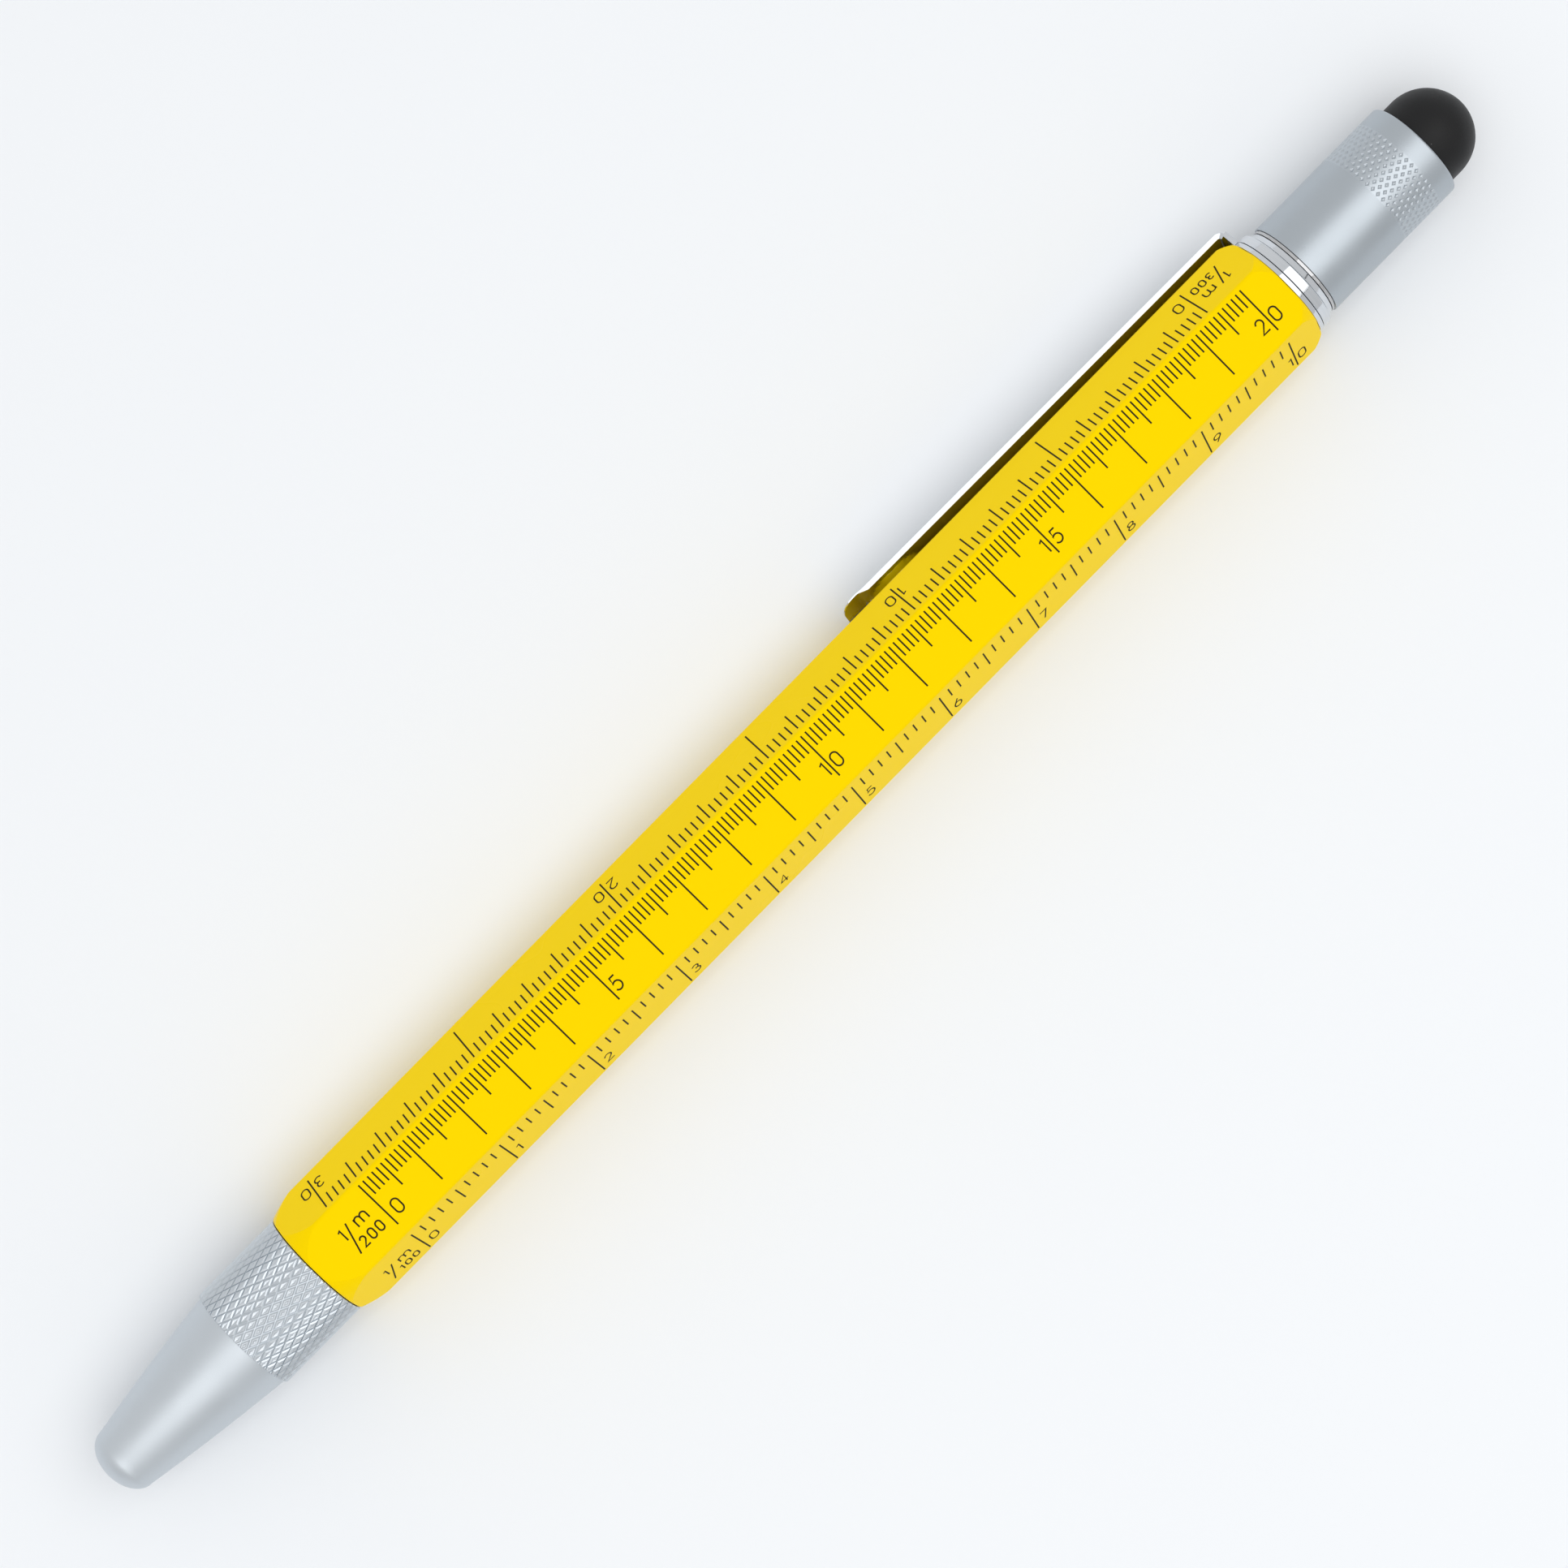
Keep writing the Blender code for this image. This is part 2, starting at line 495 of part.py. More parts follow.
def ring(name, station, radius, thickness_radius, material):
    """A round sealing ring about the axis."""
    outline = arc((station, radius), (thickness_radius, thickness_radius), 0, -360, SEAL_RING_STEPS)[:-1]
    return turned(name, list(reversed(outline)), material, station, SMALL_SEGMENTS)


def make_nib_unit(housing_material, feed_material, nib_material):
    """The nib, its finned feed and the housing that holds both and feeds them through a nipple."""
    shoulder = HOUSING_BACK - HOUSING_SHOULDER
    housing = [(NIPPLE_END, NIPPLE_RADIUS), (HOUSING_BACK, NIPPLE_RADIUS), (shoulder, HOUSING_RADIUS),
               (HOUSING_FRONT, HOUSING_RADIUS), (HOUSING_FRONT, HOUSING_BORE_RADIUS),
               (FEED_ROOT_END + SEAM, HOUSING_BORE_RADIUS), (FEED_ROOT_END + SEAM, NIPPLE_BORE_RADIUS),
               (NIPPLE_END, NIPPLE_BORE_RADIUS)]
    turned("nib_housing", housing, housing_material, HOUSING_FRONT, SMALL_SEGMENTS)
    beak = NIB_POINT + FEED_BEAK_SETBACK
    feed = [(NIPPLE_END, 0), (NIPPLE_END, FEED_TAIL_RADIUS), (FEED_ROOT_END, FEED_TAIL_RADIUS),
            (FEED_ROOT_END, FEED_RADIUS), (HOUSING_FRONT, FEED_RADIUS)]
    for fin in range(FEED_FINS):
        front = HOUSING_FRONT - (fin + 1) * FEED_FIN_PITCH
        groove = front + FEED_FIN_PITCH / 2
        edge = feed_radius_at(front, beak)
        feed += [(groove + FEED_FIN_PITCH / 2, edge - FEED_FIN_DEPTH), (groove, edge - FEED_FIN_DEPTH),
                 (groove, edge), (front, edge)]
    feed += [(beak, FEED_BEAK_DIAMETER / 2), (beak, 0)]
    turned("feed", feed, feed_material, HOUSING_FRONT, SMALL_SEGMENTS)
    make_nib(nib_material)


def feed_radius_at(station, beak):
    """The feed's outer radius between its housing and its beak, which keeps under the nib."""
    share = (HOUSING_FRONT - station) / (HOUSING_FRONT - beak)
    return FEED_RADIUS + (FEED_BEAK_DIAMETER / 2 - FEED_RADIUS) * share


def make_nib(material):
    """The nib: a curved sheet that narrows and dips to its point, with a slit and a breather hole."""
    shape = bmesh.new()
    bmesh.ops.create_grid(shape, x_segments=NIB_STEPS_ALONG, y_segments=NIB_STEPS_ROUND, size=1)
    taper = NIB_SHOULDER - NIB_POINT
    for vertex in shape.verts:
        along = (1 - vertex.co.x) / 2
        station = NIB_BACK + (NIB_POINT - NIB_BACK) * along
        share = min(max((NIB_SHOULDER - station) / taper, 0), 1)
        wrap = NIB_WRAP_ANGLE + (NIB_POINT_ANGLE - NIB_WRAP_ANGLE) * share
        angle = wrap * vertex.co.y
        height = NIB_RADIUS * math.cos(angle) - NIB_DROP * share * share
        vertex.co = Vector((station - NIB_SHOULDER, NIB_RADIUS * math.sin(angle), height))
    bmesh.ops.recalc_face_normals(shape, faces=shape.faces)
    nib = add_piece("nib", mesh_from("nib", shape), material, NIB_SHOULDER)
    thickness = nib.modifiers.new("sheet", "SOLIDIFY")
    thickness.thickness = NIB_THICKNESS
    thickness.offset = -1
    breather = NIB_SHOULDER - NIB_BREATHER_DIAMETER
    reach = NIB_RADIUS + OVERRUN
    slit_length = breather - NIB_POINT + OVERRUN
    slit = box_cutter("nib_slit", (slit_length, NIB_SLIT_WIDTH, reach),
                      (breather - slit_length / 2, 0, reach / 2))
    combine(nib, slit)
    shape = bmesh.new()
    bmesh.ops.create_cone(shape, cap_ends=True, segments=SMALL_SEGMENTS, radius1=NIB_BREATHER_DIAMETER / 2,
                          radius2=NIB_BREATHER_DIAMETER / 2, depth=reach)
    hole = add_piece("nib_breather", mesh_from("nib_breather", shape), collection=cutters)
    hole.location = (breather, 0, reach / 2)
    combine(nib, hole)


def make_converter(tube_material, metal, seal_material, knob_material):
    """The piston filler: a clear tube on the nib unit's nipple, its piston, and the knob that drives it."""
    neck = TUBE_MOUTH_RADIUS + TUBE_NECK_WALL
    tube = [(TUBE_END, TUBE_RADIUS), (TUBE_SHOULDER, TUBE_RADIUS), (TUBE_SHOULDER, neck),
            (TUBE_FRONT, neck), (TUBE_FRONT, TUBE_MOUTH_RADIUS), (TUBE_BORE_FRONT, TUBE_MOUTH_RADIUS),
            (TUBE_BORE_FRONT, TUBE_BORE_RADIUS), (TUBE_END, TUBE_BORE_RADIUS)]
    turned("converter_tube", tube, tube_material, TUBE_FRONT)
    lap = TUBE_RADIUS + PRESS_CLEARANCE
    sleeve = [(SLEEVE_END, SLEEVE_RADIUS), (SLEEVE_FRONT, SLEEVE_RADIUS), (SLEEVE_FRONT, lap),
              (SLEEVE_STEP, lap), (SLEEVE_STEP, SLEEVE_COLLAR_RADIUS), (SLEEVE_END, SLEEVE_COLLAR_RADIUS)]
    turned("converter_sleeve", sleeve, metal, SLEEVE_FRONT)
    lip = PISTON_LIP_LENGTH
    waist = PISTON_RADIUS - PISTON_GROOVE_DEPTH
    piston = [(PISTON_BACK, 0), (PISTON_BACK, PISTON_RADIUS), (PISTON_BACK - lip, PISTON_RADIUS),
              (PISTON_BACK - lip, waist), (PISTON_FRONT + lip, waist), (PISTON_FRONT + lip, PISTON_RADIUS),
              (PISTON_FRONT, PISTON_RADIUS), (PISTON_FRONT, 0)]
    turned("converter_piston", piston, seal_material, PISTON_BACK)
    rod = [(ROD_END, 0), (ROD_END, ROD_RADIUS), (PISTON_BACK + SEAM, ROD_RADIUS), (PISTON_BACK + SEAM, 0)]
    turned("converter_rod", rod, metal, PISTON_BACK, SMALL_SEGMENTS)
    knob = [(KNOB_END, 0), (KNOB_END, SLEEVE_RADIUS), (KNOB_SHOULDER, SLEEVE_RADIUS),
            (KNOB_SHOULDER, KNOB_SHANK_RADIUS), (KNOB_FRONT, KNOB_SHANK_RADIUS),
            (KNOB_FRONT, KNOB_BORE_RADIUS), (KNOB_BORE_END, KNOB_BORE_RADIUS), (KNOB_BORE_END, 0)]
    grip = turned("converter_knob", knob, knob_material, KNOB_SHOULDER)
    groove_radius = SLEEVE_RADIUS - KNOB_RIB_DEPTH
    shape = bmesh.new()
    for rib in range(KNOB_GRIP_RIBS):
        turn = Matrix.Rotation(2 * math.pi * rib / KNOB_GRIP_RIBS, 4, "X")
        block = bmesh.ops.create_cube(shape, size=1)["verts"]
        start = KNOB_SHOULDER + KNOB_RIB_WIDTH
        length = KNOB_END + OVERRUN - start
        depth = KNOB_RIB_DEPTH + OVERRUN
        bmesh.ops.scale(shape, vec=(length, KNOB_RIB_WIDTH, depth), verts=block)
        bmesh.ops.translate(shape, vec=(start + length / 2, 0, groove_radius + depth / 2), verts=block)
        bmesh.ops.transform(shape, matrix=turn, verts=block)
    combine(grip, add_piece("knob_grooves", mesh_from("knob_grooves", shape), collection=cutters))


def make_clip(material):
    """The clip: its ring behind the barrel, and the arm, hinged at the bend where the real strip springs."""
    hole = RING_BORE_RADIUS
    outline = [(CLIP_RING_BACK, CLIP_RING_DIAMETER / 2), (CLIP_RING_FRONT, CLIP_RING_DIAMETER / 2),
               (CLIP_RING_FRONT, hole), (CLIP_RING_BACK, hole)]
    clip_ring = turned("clip_ring", outline, material, CLIP_RING_FRONT)
    facing = Matrix.Rotation(-CLIP_FACE_ANGLE, 4, "X")
    root = CLIP_HEIGHT - CLIP_BEND_RADIUS - SHEET_CLEARANCE
    tab_start = hole + CLIP_SHEET
    tab = box_cutter("clip_tab", (CLIP_SHEET, CLIP_WIDTH, root - tab_start), (0, 0, 0))
    middle = (tab_start + root) / 2
    tab.rotation_euler = facing.to_euler()
    tab.location = facing @ Vector(((CLIP_RING_FRONT + CLIP_RING_BACK) / 2, 0, middle))
    combine(clip_ring, tab, "UNION")

    inner_bend = max(CLIP_BEND_RADIUS - CLIP_SHEET, MERGE_DISTANCE)
    bend = (CLIP_RING_BACK - CLIP_BEND_RADIUS, CLIP_HEIGHT - CLIP_BEND_RADIUS)
    tip = CLIP_RING_BACK - CLIP_ARM_LENGTH - bend[0]
    outer = CLIP_BEND_RADIUS
    outline = arc((0, 0), (outer, outer), 0, 90, CLIP_BEND_STEPS)
    outline += [(tip, outer), (tip, outer - CLIP_TIP_SHEET),
                (tip + CLIP_TIP_TAPER_LENGTH, outer - CLIP_SHEET)]
    outline += arc((0, 0), (inner_bend, inner_bend), 90, 0, CLIP_BEND_STEPS)
    arm = add_piece("clip_arm", extruded("clip_arm", outline, CLIP_WIDTH + 2 * OVERRUN), material)
    arm.rotation_euler = facing.to_euler()
    arm.location = facing @ Vector((bend[0], 0, bend[1]))
    combine(arm, clip_cutter("clip_plan", clip_plan(tip), arm), "INTERSECT")
    combine(arm, clip_bump(tip, arm), "UNION")


def extruded(name, outline, thickness):
    """A flat outline in X and Z, thickened evenly to both sides in Y, as one welded mesh."""
    curve = bpy.data.curves.new(name, "CURVE")
    curve.dimensions = "2D"
    curve.fill_mode = "BOTH"
    curve.extrude = thickness / 2
    spline = curve.splines.new("POLY")
    spline.points.add(len(outline) - 1)
    for point, (along, height) in zip(spline.points, outline):
        point.co = (along, height, 0, 1)
    spline.use_cyclic_u = True
    drawn = bpy.data.objects.new(name, curve)
    cutters.objects.link(drawn)
    bpy.context.view_layer.update()
    mesh = bpy.data.meshes.new_from_object(drawn.evaluated_get(bpy.context.evaluated_depsgraph_get()))
    bpy.data.objects.remove(drawn, do_unlink=True)
    shape = bmesh.new()
    shape.from_mesh(mesh)
    bmesh.ops.remove_doubles(shape, verts=shape.verts, dist=MERGE_DISTANCE)
    bmesh.ops.transform(shape, matrix=Matrix.Rotation(math.pi / 2, 4, "X"), verts=shape.verts)
    bmesh.ops.recalc_face_normals(shape, faces=shape.faces)
    shape.to_mesh(mesh)
    shape.free()
    return mesh


def clip_plan(tip):
    """The arm's outline from above: parallel edges and a rounded tip."""
    half = CLIP_WIDTH / 2
    corner = half * CLIP_TIP_ROUND_SHARE
    back = CLIP_BEND_RADIUS + OVERRUN
    plan = [(back, half)]
    plan += arc((tip + corner, half - corner), (corner, corner), 90, 180, CLIP_TIP_STEPS)
    plan += arc((tip + corner, corner - half), (corner, corner), 180, 270, CLIP_TIP_STEPS)
    return plan + [(back, -half)]


def clip_cutter(name, plan, arm):
    """Makes the plan a prism that stands across the arm."""
    mesh = extruded(name, plan, 2 * CLIP_HEIGHT)
    mesh.transform(Matrix.Rotation(-math.pi / 2, 4, "X"))
    prism = add_piece(name, mesh, collection=cutters)
    prism.location = arm.location
    prism.rotation_euler = arm.rotation_euler
    return prism


def clip_bump(tip, arm):
    """The pressed bump under the arm: a lens whose rim lies in the sheet."""
    rim = CLIP_BEND_RADIUS - CLIP_SHEET / 2
    depth = CLIP_INNER_HEIGHT + CLIP_SHEET / 2 - BARREL_APOTHEM - SHEET_CLEARANCE
    shape = bmesh.new()
    bmesh.ops.create_uvsphere(shape, u_segments=SMALL_SEGMENTS, v_segments=SMALL_SEGMENTS // 2, radius=1)
    for vertex in shape.verts:
        height = depth if vertex.co.z < 0 else CLIP_SHEET / 4
        vertex.co = Vector((vertex.co.x * CLIP_BUMP_LENGTH / 2, vertex.co.y * CLIP_BUMP_WIDTH / 2,
                            vertex.co.z * height))
    bmesh.ops.translate(shape, vec=(tip + CLIP_BUMP_SETBACK + CLIP_BUMP_LENGTH / 2, 0, rim),
                        verts=shape.verts)
    bump = add_piece("clip_bump", mesh_from("clip_bump", shape), collection=cutters)
    bump.location = arm.location
    bump.rotation_euler = arm.rotation_euler
    return bump


def make_collar(material):
    """The chrome collar, with a rounded lip toward the barrel."""
    lip = COLLAR_LIP_RADIUS
    front = COLLAR_FRONT_DIAMETER / 2
    outline = [(COLLAR_BACK, COLLAR_REAR_DIAMETER / 2)]
    outline += arc((COLLAR_FRONT + lip, front - lip), (lip, lip), COLLAR_LIP_START, 180, COLLAR_LIP_STEPS)
    outline += [(COLLAR_FRONT, RING_BORE_RADIUS), (COLLAR_BACK, RING_BORE_RADIUS)]
    turned("collar", outline, material, COLLAR_FRONT)


def make_tool_stem(material, seal_material):
    """The stem in the rear bushing: a socket for the bit, a flange, and a spigot for the stylus cap."""
    body = SOCKET_CORNER_RADIUS + STEM_BODY_WALL
    flange = STEM_FLANGE_DIAMETER / 2
    outline = [(STEM_MOUTH, 0), (STEM_MOUTH, SPIGOT_RADIUS), (FLANGE_BACK, SPIGOT_RADIUS),
               (FLANGE_BACK, flange), (FLANGE_FRONT, flange), (FLANGE_FRONT, SHANK_RADIUS),
               (REAR_BUSHING_FRONT, SHANK_RADIUS), (REAR_BUSHING_FRONT, body), (STEM_FRONT, body),
               (STEM_FRONT, 0)]
    stem = turned("tool_stem", outline, material, FLANGE_FRONT)
    socket = hex_bar("bit_socket", SOCKET_CORNER_RADIUS, SOCKET_FLOOR, STEM_MOUTH + OVERRUN,
                     collection=cutters)
    combine(stem, socket)
    thickness = STEM_SEAL_THICKNESS / 2
    ring("stem_seal", FLANGE_BACK + SEAM + thickness, SPIGOT_RADIUS + PRESS_CLEARANCE + thickness,
         thickness, seal_material)


def make_driver_bit(material, seal_material):
    """The reversible bit: a hexagonal bar with a flat blade in front and a crossed tip at the back."""
    bit = hex_bar("driver_bit", BIT_CORNER_RADIUS, BIT_FRONT, BIT_BACK, material)
    full = BIT_CORNER_RADIUS + OVERRUN
    neck = BIT_NECK_DIAMETER / 2
    ring_radius = SOCKET_FLATS / 2 - PRESS_CLEARANCE - BIT_RING_THICKNESS / 2
    groove = ring_radius - BIT_RING_THICKNESS / 2 - PRESS_CLEARANCE
    half_groove = BIT_RING_GROOVE_LENGTH / 2
    rear_neck = BIT_BACK - BIT_NECK_LENGTH
    front_neck = BIT_FRONT + BIT_NECK_LENGTH
    envelope = [(BIT_BACK, 0), (BIT_BACK, BIT_TIP_DIAMETER / 2), (BIT_BACK - BIT_TAPER_LENGTH, neck),
                (rear_neck, neck), (rear_neck - BIT_SHOULDER_LENGTH, full),
                (BIT_MIDDLE + half_groove, full), (BIT_MIDDLE + half_groove, groove),
                (BIT_MIDDLE - half_groove, groove), (BIT_MIDDLE - half_groove, full),
                (front_neck + BIT_SHOULDER_LENGTH, full), (front_neck, neck),
                (BIT_FRONT - OVERRUN, neck), (BIT_FRONT - OVERRUN, 0)]
    combine(bit, turned("bit_envelope", envelope, segments=SMALL_SEGMENTS, collection=cutters), "INTERSECT")
    shape = bmesh.new()
    for flute in range(BIT_FLUTES):
        block = bmesh.ops.create_cube(shape, size=1)["verts"]
        side = 2 * neck
        length = BIT_TAPER_LENGTH + OVERRUN
        bmesh.ops.scale(shape, vec=(length, side, side), verts=block)
        bmesh.ops.transform(shape, matrix=Matrix.Rotation(math.pi / 4, 4, "X"), verts=block)
        lift = BIT_CROSS_WEB + side / math.sqrt(2)
        middle = BIT_BACK - BIT_TAPER_LENGTH + length / 2
        bmesh.ops.translate(shape, vec=(middle, 0, lift), verts=block)
        turn = Matrix.Rotation(2 * math.pi * flute / BIT_FLUTES, 4, "X")
        bmesh.ops.transform(shape, matrix=turn, verts=block)
    combine(bit, add_piece("bit_flutes", mesh_from("bit_flutes", shape), collection=cutters))
    shape = bmesh.new()
    slope = math.atan((neck - BIT_BLADE_THICKNESS / 2) / BIT_NECK_LENGTH)
    for side in (1, -1):
        block = bmesh.ops.create_cube(shape, size=1)["verts"]
        size = Vector((2 * BIT_NECK_LENGTH, 4 * neck, 2 * neck))
        bmesh.ops.scale(shape, vec=size, verts=block)
        bmesh.ops.translate(shape, vec=(0, 0, neck), verts=block)
        bmesh.ops.transform(shape, matrix=Matrix.Rotation(-slope, 4, "Y"), verts=block)
        bmesh.ops.translate(shape, vec=(BIT_FRONT, 0, BIT_BLADE_THICKNESS / 2), verts=block)
        if side < 0:
            bmesh.ops.transform(shape, matrix=Matrix.Rotation(math.pi, 4, "X"), verts=block)
    combine(bit, add_piece("bit_blade", mesh_from("bit_blade", shape), collection=cutters))
    ring("bit_ring", BIT_MIDDLE, ring_radius, BIT_RING_THICKNESS / 2, seal_material)


def make_stylus_cap(shell_material, insert_material, core_material, tip_material):
    """The stylus cap: a satin sleeve, its threaded insert, and the core that carries the rubber tip."""
    rounding = STYLUS_CAP_ROUND
    sleeve = [(STYLUS_CAP_BACK, STYLUS_BORE_RADIUS)]
    sleeve += arc((STYLUS_CAP_BACK - rounding, STYLUS_CAP_RADIUS - rounding), (rounding, rounding), 0, 90,
                  STYLUS_CAP_ROUND_STEPS)
    sleeve += [(STYLUS_CAP_FRONT, STYLUS_CAP_RADIUS), (STYLUS_CAP_FRONT, STYLUS_BORE_RADIUS)]
    turned("stylus_cap", sleeve, shell_material, STYLUS_CAP_FRONT)
    turned("cap_insert", [(INSERT_BACK, INSERT_RADIUS), (INSERT_FRONT, INSERT_RADIUS),
                          (INSERT_FRONT, INSERT_BORE_RADIUS), (INSERT_BACK, INSERT_BORE_RADIUS)],
           insert_material, INSERT_FRONT)
    core = [(CORE_END, 0), (CORE_END, CORE_NIPPLE_RADIUS), (CORE_SHOULDER, CORE_NIPPLE_RADIUS),
            (CORE_SHOULDER, CORE_RADIUS), (CORE_FRONT, CORE_RADIUS), (CORE_FRONT, 0)]
    turned("stylus_core", core, core_material, CORE_FRONT)
    hollow = TIP_RADIUS - TIP_WALL
    grip = CORE_NIPPLE_RADIUS + PRESS_CLEARANCE
    tip = [(TIP_DOME_START + TIP_RADIUS, 0)]
    tip += arc((TIP_DOME_START, 0), (TIP_RADIUS, TIP_RADIUS), 0, 90, TIP_STEPS)[1:]
    tip += [(TIP_FRONT, TIP_RADIUS), (TIP_FRONT, grip), (STYLUS_CAP_BACK, grip), (STYLUS_CAP_BACK, hollow)]
    tip += arc((TIP_DOME_START, 0), (hollow, hollow), 90, 0, TIP_STEPS)[:-1]
    tip.append((TIP_DOME_START + hollow, 0))
    turned("stylus_tip", tip, tip_material, TIP_FRONT)


def resting_roll():
    """How far the pen leans when a long edge of the barrel and the clip's lower edge touch the table."""
    fillet = BARREL_EDGE_FILLET
    edge_angle = math.pi * 5 / HEX
    reach = (BARREL_APOTHEM - fillet) * FLAT_TO_CORNER
    edge = Vector((-reach * math.sin(edge_angle), reach * math.cos(edge_angle)))
    out = Vector((math.sin(CLIP_FACE_ANGLE), math.cos(CLIP_FACE_ANGLE)))
    down = Vector((out.y, -out.x))
    corner = out * CLIP_HEIGHT + down * CLIP_WIDTH / 2
    span = corner - edge
    return math.atan2(-span.y, span.x) + math.asin(-fillet / span.length)


def lay_down():
    """Leans the pen to its resting roll, and puts the origin under the middle of its bounding box."""
    pen_axis.rotation_euler.x = resting_roll()
    bpy.context.view_layer.update()
    depsgraph = bpy.context.evaluated_depsgraph_get()
    lowest = Vector((math.inf,) * 3)
    highest = Vector((-math.inf,) * 3)
    for piece in parts.objects:
        if piece.type != "MESH":
            continue
        solid = piece.evaluated_get(depsgraph)
        for vertex in solid.data.vertices:
            place = solid.matrix_world @ vertex.co
            lowest = Vector(map(min, lowest, place))
            highest = Vector(map(max, highest, place))
    middle = (lowest + highest) / 2
    pen_axis.location = (-middle.x, -middle.y, -lowest.z)
    bpy.context.view_layer.update()


def build():
    """Makes every piece and lays the pen on its side."""
    clear_scene()
    yellow = paint("yellow_lacquer", (0.98, 0.66, 0.0), 0.35)
    satin = paint("satin_silver", (0.56, 0.59, 0.62), 0.38, 1.0)
    chrome = paint("chrome", (0.85, 0.86, 0.87), 0.08, 1.0)
    steel = paint("steel", (0.62, 0.62, 0.63), 0.3, 1.0)
    brass = paint("brass", (0.8, 0.6, 0.25), 0.35, 1.0)
    rubber = paint("black_rubber", (0.02, 0.02, 0.02), 0.8)
    black = paint("black_plastic", (0.02, 0.02, 0.022), 0.4)
    liner = paint("liner_plastic", (0.75, 0.75, 0.73), 0.5)
    clear = paint("clear_plastic", (0.8, 0.85, 0.88), 0.1, alpha=0.4)
    make_barrel(yellow)
    make_bushings(brass)
    make_front_cap(satin, liner)
    make_section(black, rubber)
    make_nib_unit(black, black, steel)
    make_converter(clear, chrome, rubber, black)
    make_clip(chrome)
    make_collar(chrome)
    make_tool_stem(steel, rubber)
    make_driver_bit(steel, rubber)
    make_stylus_cap(satin, brass, black, rubber)
    lay_down()


build()
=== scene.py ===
# %% [markdown]
# # Multi tool pen
# This lesson dresses a finished CAD pen for its picture. The CAD pieces already stand where they belong,
# so every piece made here is built in the pen's own coordinates and then laid on the same axis. All sizes
# are in millimetres along that axis, with 0 at the barrel's front end, and are turned into metres at the
# end.

# %% Load the frame
import json
import math
import bmesh
import bpy
from mathutils import Matrix, Vector


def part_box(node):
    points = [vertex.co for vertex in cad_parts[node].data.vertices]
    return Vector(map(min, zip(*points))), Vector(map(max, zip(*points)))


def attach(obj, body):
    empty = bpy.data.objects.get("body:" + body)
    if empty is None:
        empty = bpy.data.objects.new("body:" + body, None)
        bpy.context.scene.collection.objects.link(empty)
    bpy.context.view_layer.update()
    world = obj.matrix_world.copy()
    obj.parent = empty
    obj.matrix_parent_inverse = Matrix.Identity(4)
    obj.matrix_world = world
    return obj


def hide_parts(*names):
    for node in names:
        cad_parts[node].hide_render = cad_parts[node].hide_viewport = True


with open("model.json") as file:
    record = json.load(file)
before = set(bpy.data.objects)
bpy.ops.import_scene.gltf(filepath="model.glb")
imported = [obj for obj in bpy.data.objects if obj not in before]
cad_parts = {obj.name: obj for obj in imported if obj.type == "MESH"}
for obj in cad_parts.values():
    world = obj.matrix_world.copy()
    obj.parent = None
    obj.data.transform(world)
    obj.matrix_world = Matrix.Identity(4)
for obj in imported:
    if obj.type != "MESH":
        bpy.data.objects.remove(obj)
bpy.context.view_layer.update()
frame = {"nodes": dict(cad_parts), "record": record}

# %% [markdown]
# The pen lies on its side, leaning on a long edge and on its clip. Instead of modelling it in that pose,
# the pieces are drawn upright, with the 1/200 face on top, and one matrix leans and places them all. Its
# three facts come from the frame: where the barrel starts, where a round piece has its middle, and which
# way the face with the 1/200 scale looks.

# %% The pen's own axes
MM = 0.001
barrel_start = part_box("barrel")[0].x
rod_low, rod_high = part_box("converter_rod")
face_up = next(m for m in frame["record"]["mounts"] if m["name"] == "scale_face")["axis"]
lean = math.atan2(-face_up[1], face_up[2])
middle = (rod_low + rod_high) / 2
pen_place = Matrix.Translation((barrel_start, middle.y, middle.z)) @ Matrix.Rotation(lean, 4, "X")
print("The pen leans", round(math.degrees(lean), 2), "degrees")

# %% [markdown]
# Each piece is handed over in the same way: its mesh is scaled from millimetres and laid on the pen's
# axis, the object itself stays at the origin, the piece is told which moving body carries it, and the CAD
# solids that it stands for are hidden. Doing this in one helper keeps any piece from being forgotten.

# %% Handing a piece to the pen
def add_piece(name, shape, material, body, *stands_for, sharp=30):
    """Makes a piece from a bmesh in pen millimetres and lets it ride on a body."""
    mesh = bpy.data.meshes.new(name)
    bmesh.ops.recalc_face_normals(shape, faces=shape.faces)
    shape.to_mesh(mesh)
    shape.free()
    mesh.transform(pen_place @ Matrix.Scale(MM, 4))
    mesh.shade_smooth()
    mesh.set_sharp_from_angle(angle=math.radians(sharp))
    mesh.materials.append(material)
    piece = bpy.data.objects.new(name, mesh)
    bpy.context.scene.collection.objects.link(piece)
    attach(piece, body)
    if stands_for:
        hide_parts(*stands_for)
    print(f"{name}: {len(mesh.polygons)} faces, {piece.dimensions.x / MM:.2f} mm long")
    return piece

# %% [markdown]
# ## Finishes
# A finish is a small network of shader nodes. Adding a node, setting its options and joining its inputs
# takes several lines each time, so a helper does it in one. An input is either a plain value or the
# output of another node.

# %% Adding shader nodes
def add_node(tree, kind, inputs=(), **options):
    """Adds a node, sets its options, and fills or links its inputs by name or number."""
    node = tree.nodes.new(kind)
    for option, value in options.items():
        setattr(node, option, value)
    for key, value in dict(inputs).items():
        if isinstance(value, bpy.types.NodeSocket):
            tree.links.new(value, node.inputs[key])
        else:
            node.inputs[key].default_value = value
    return node


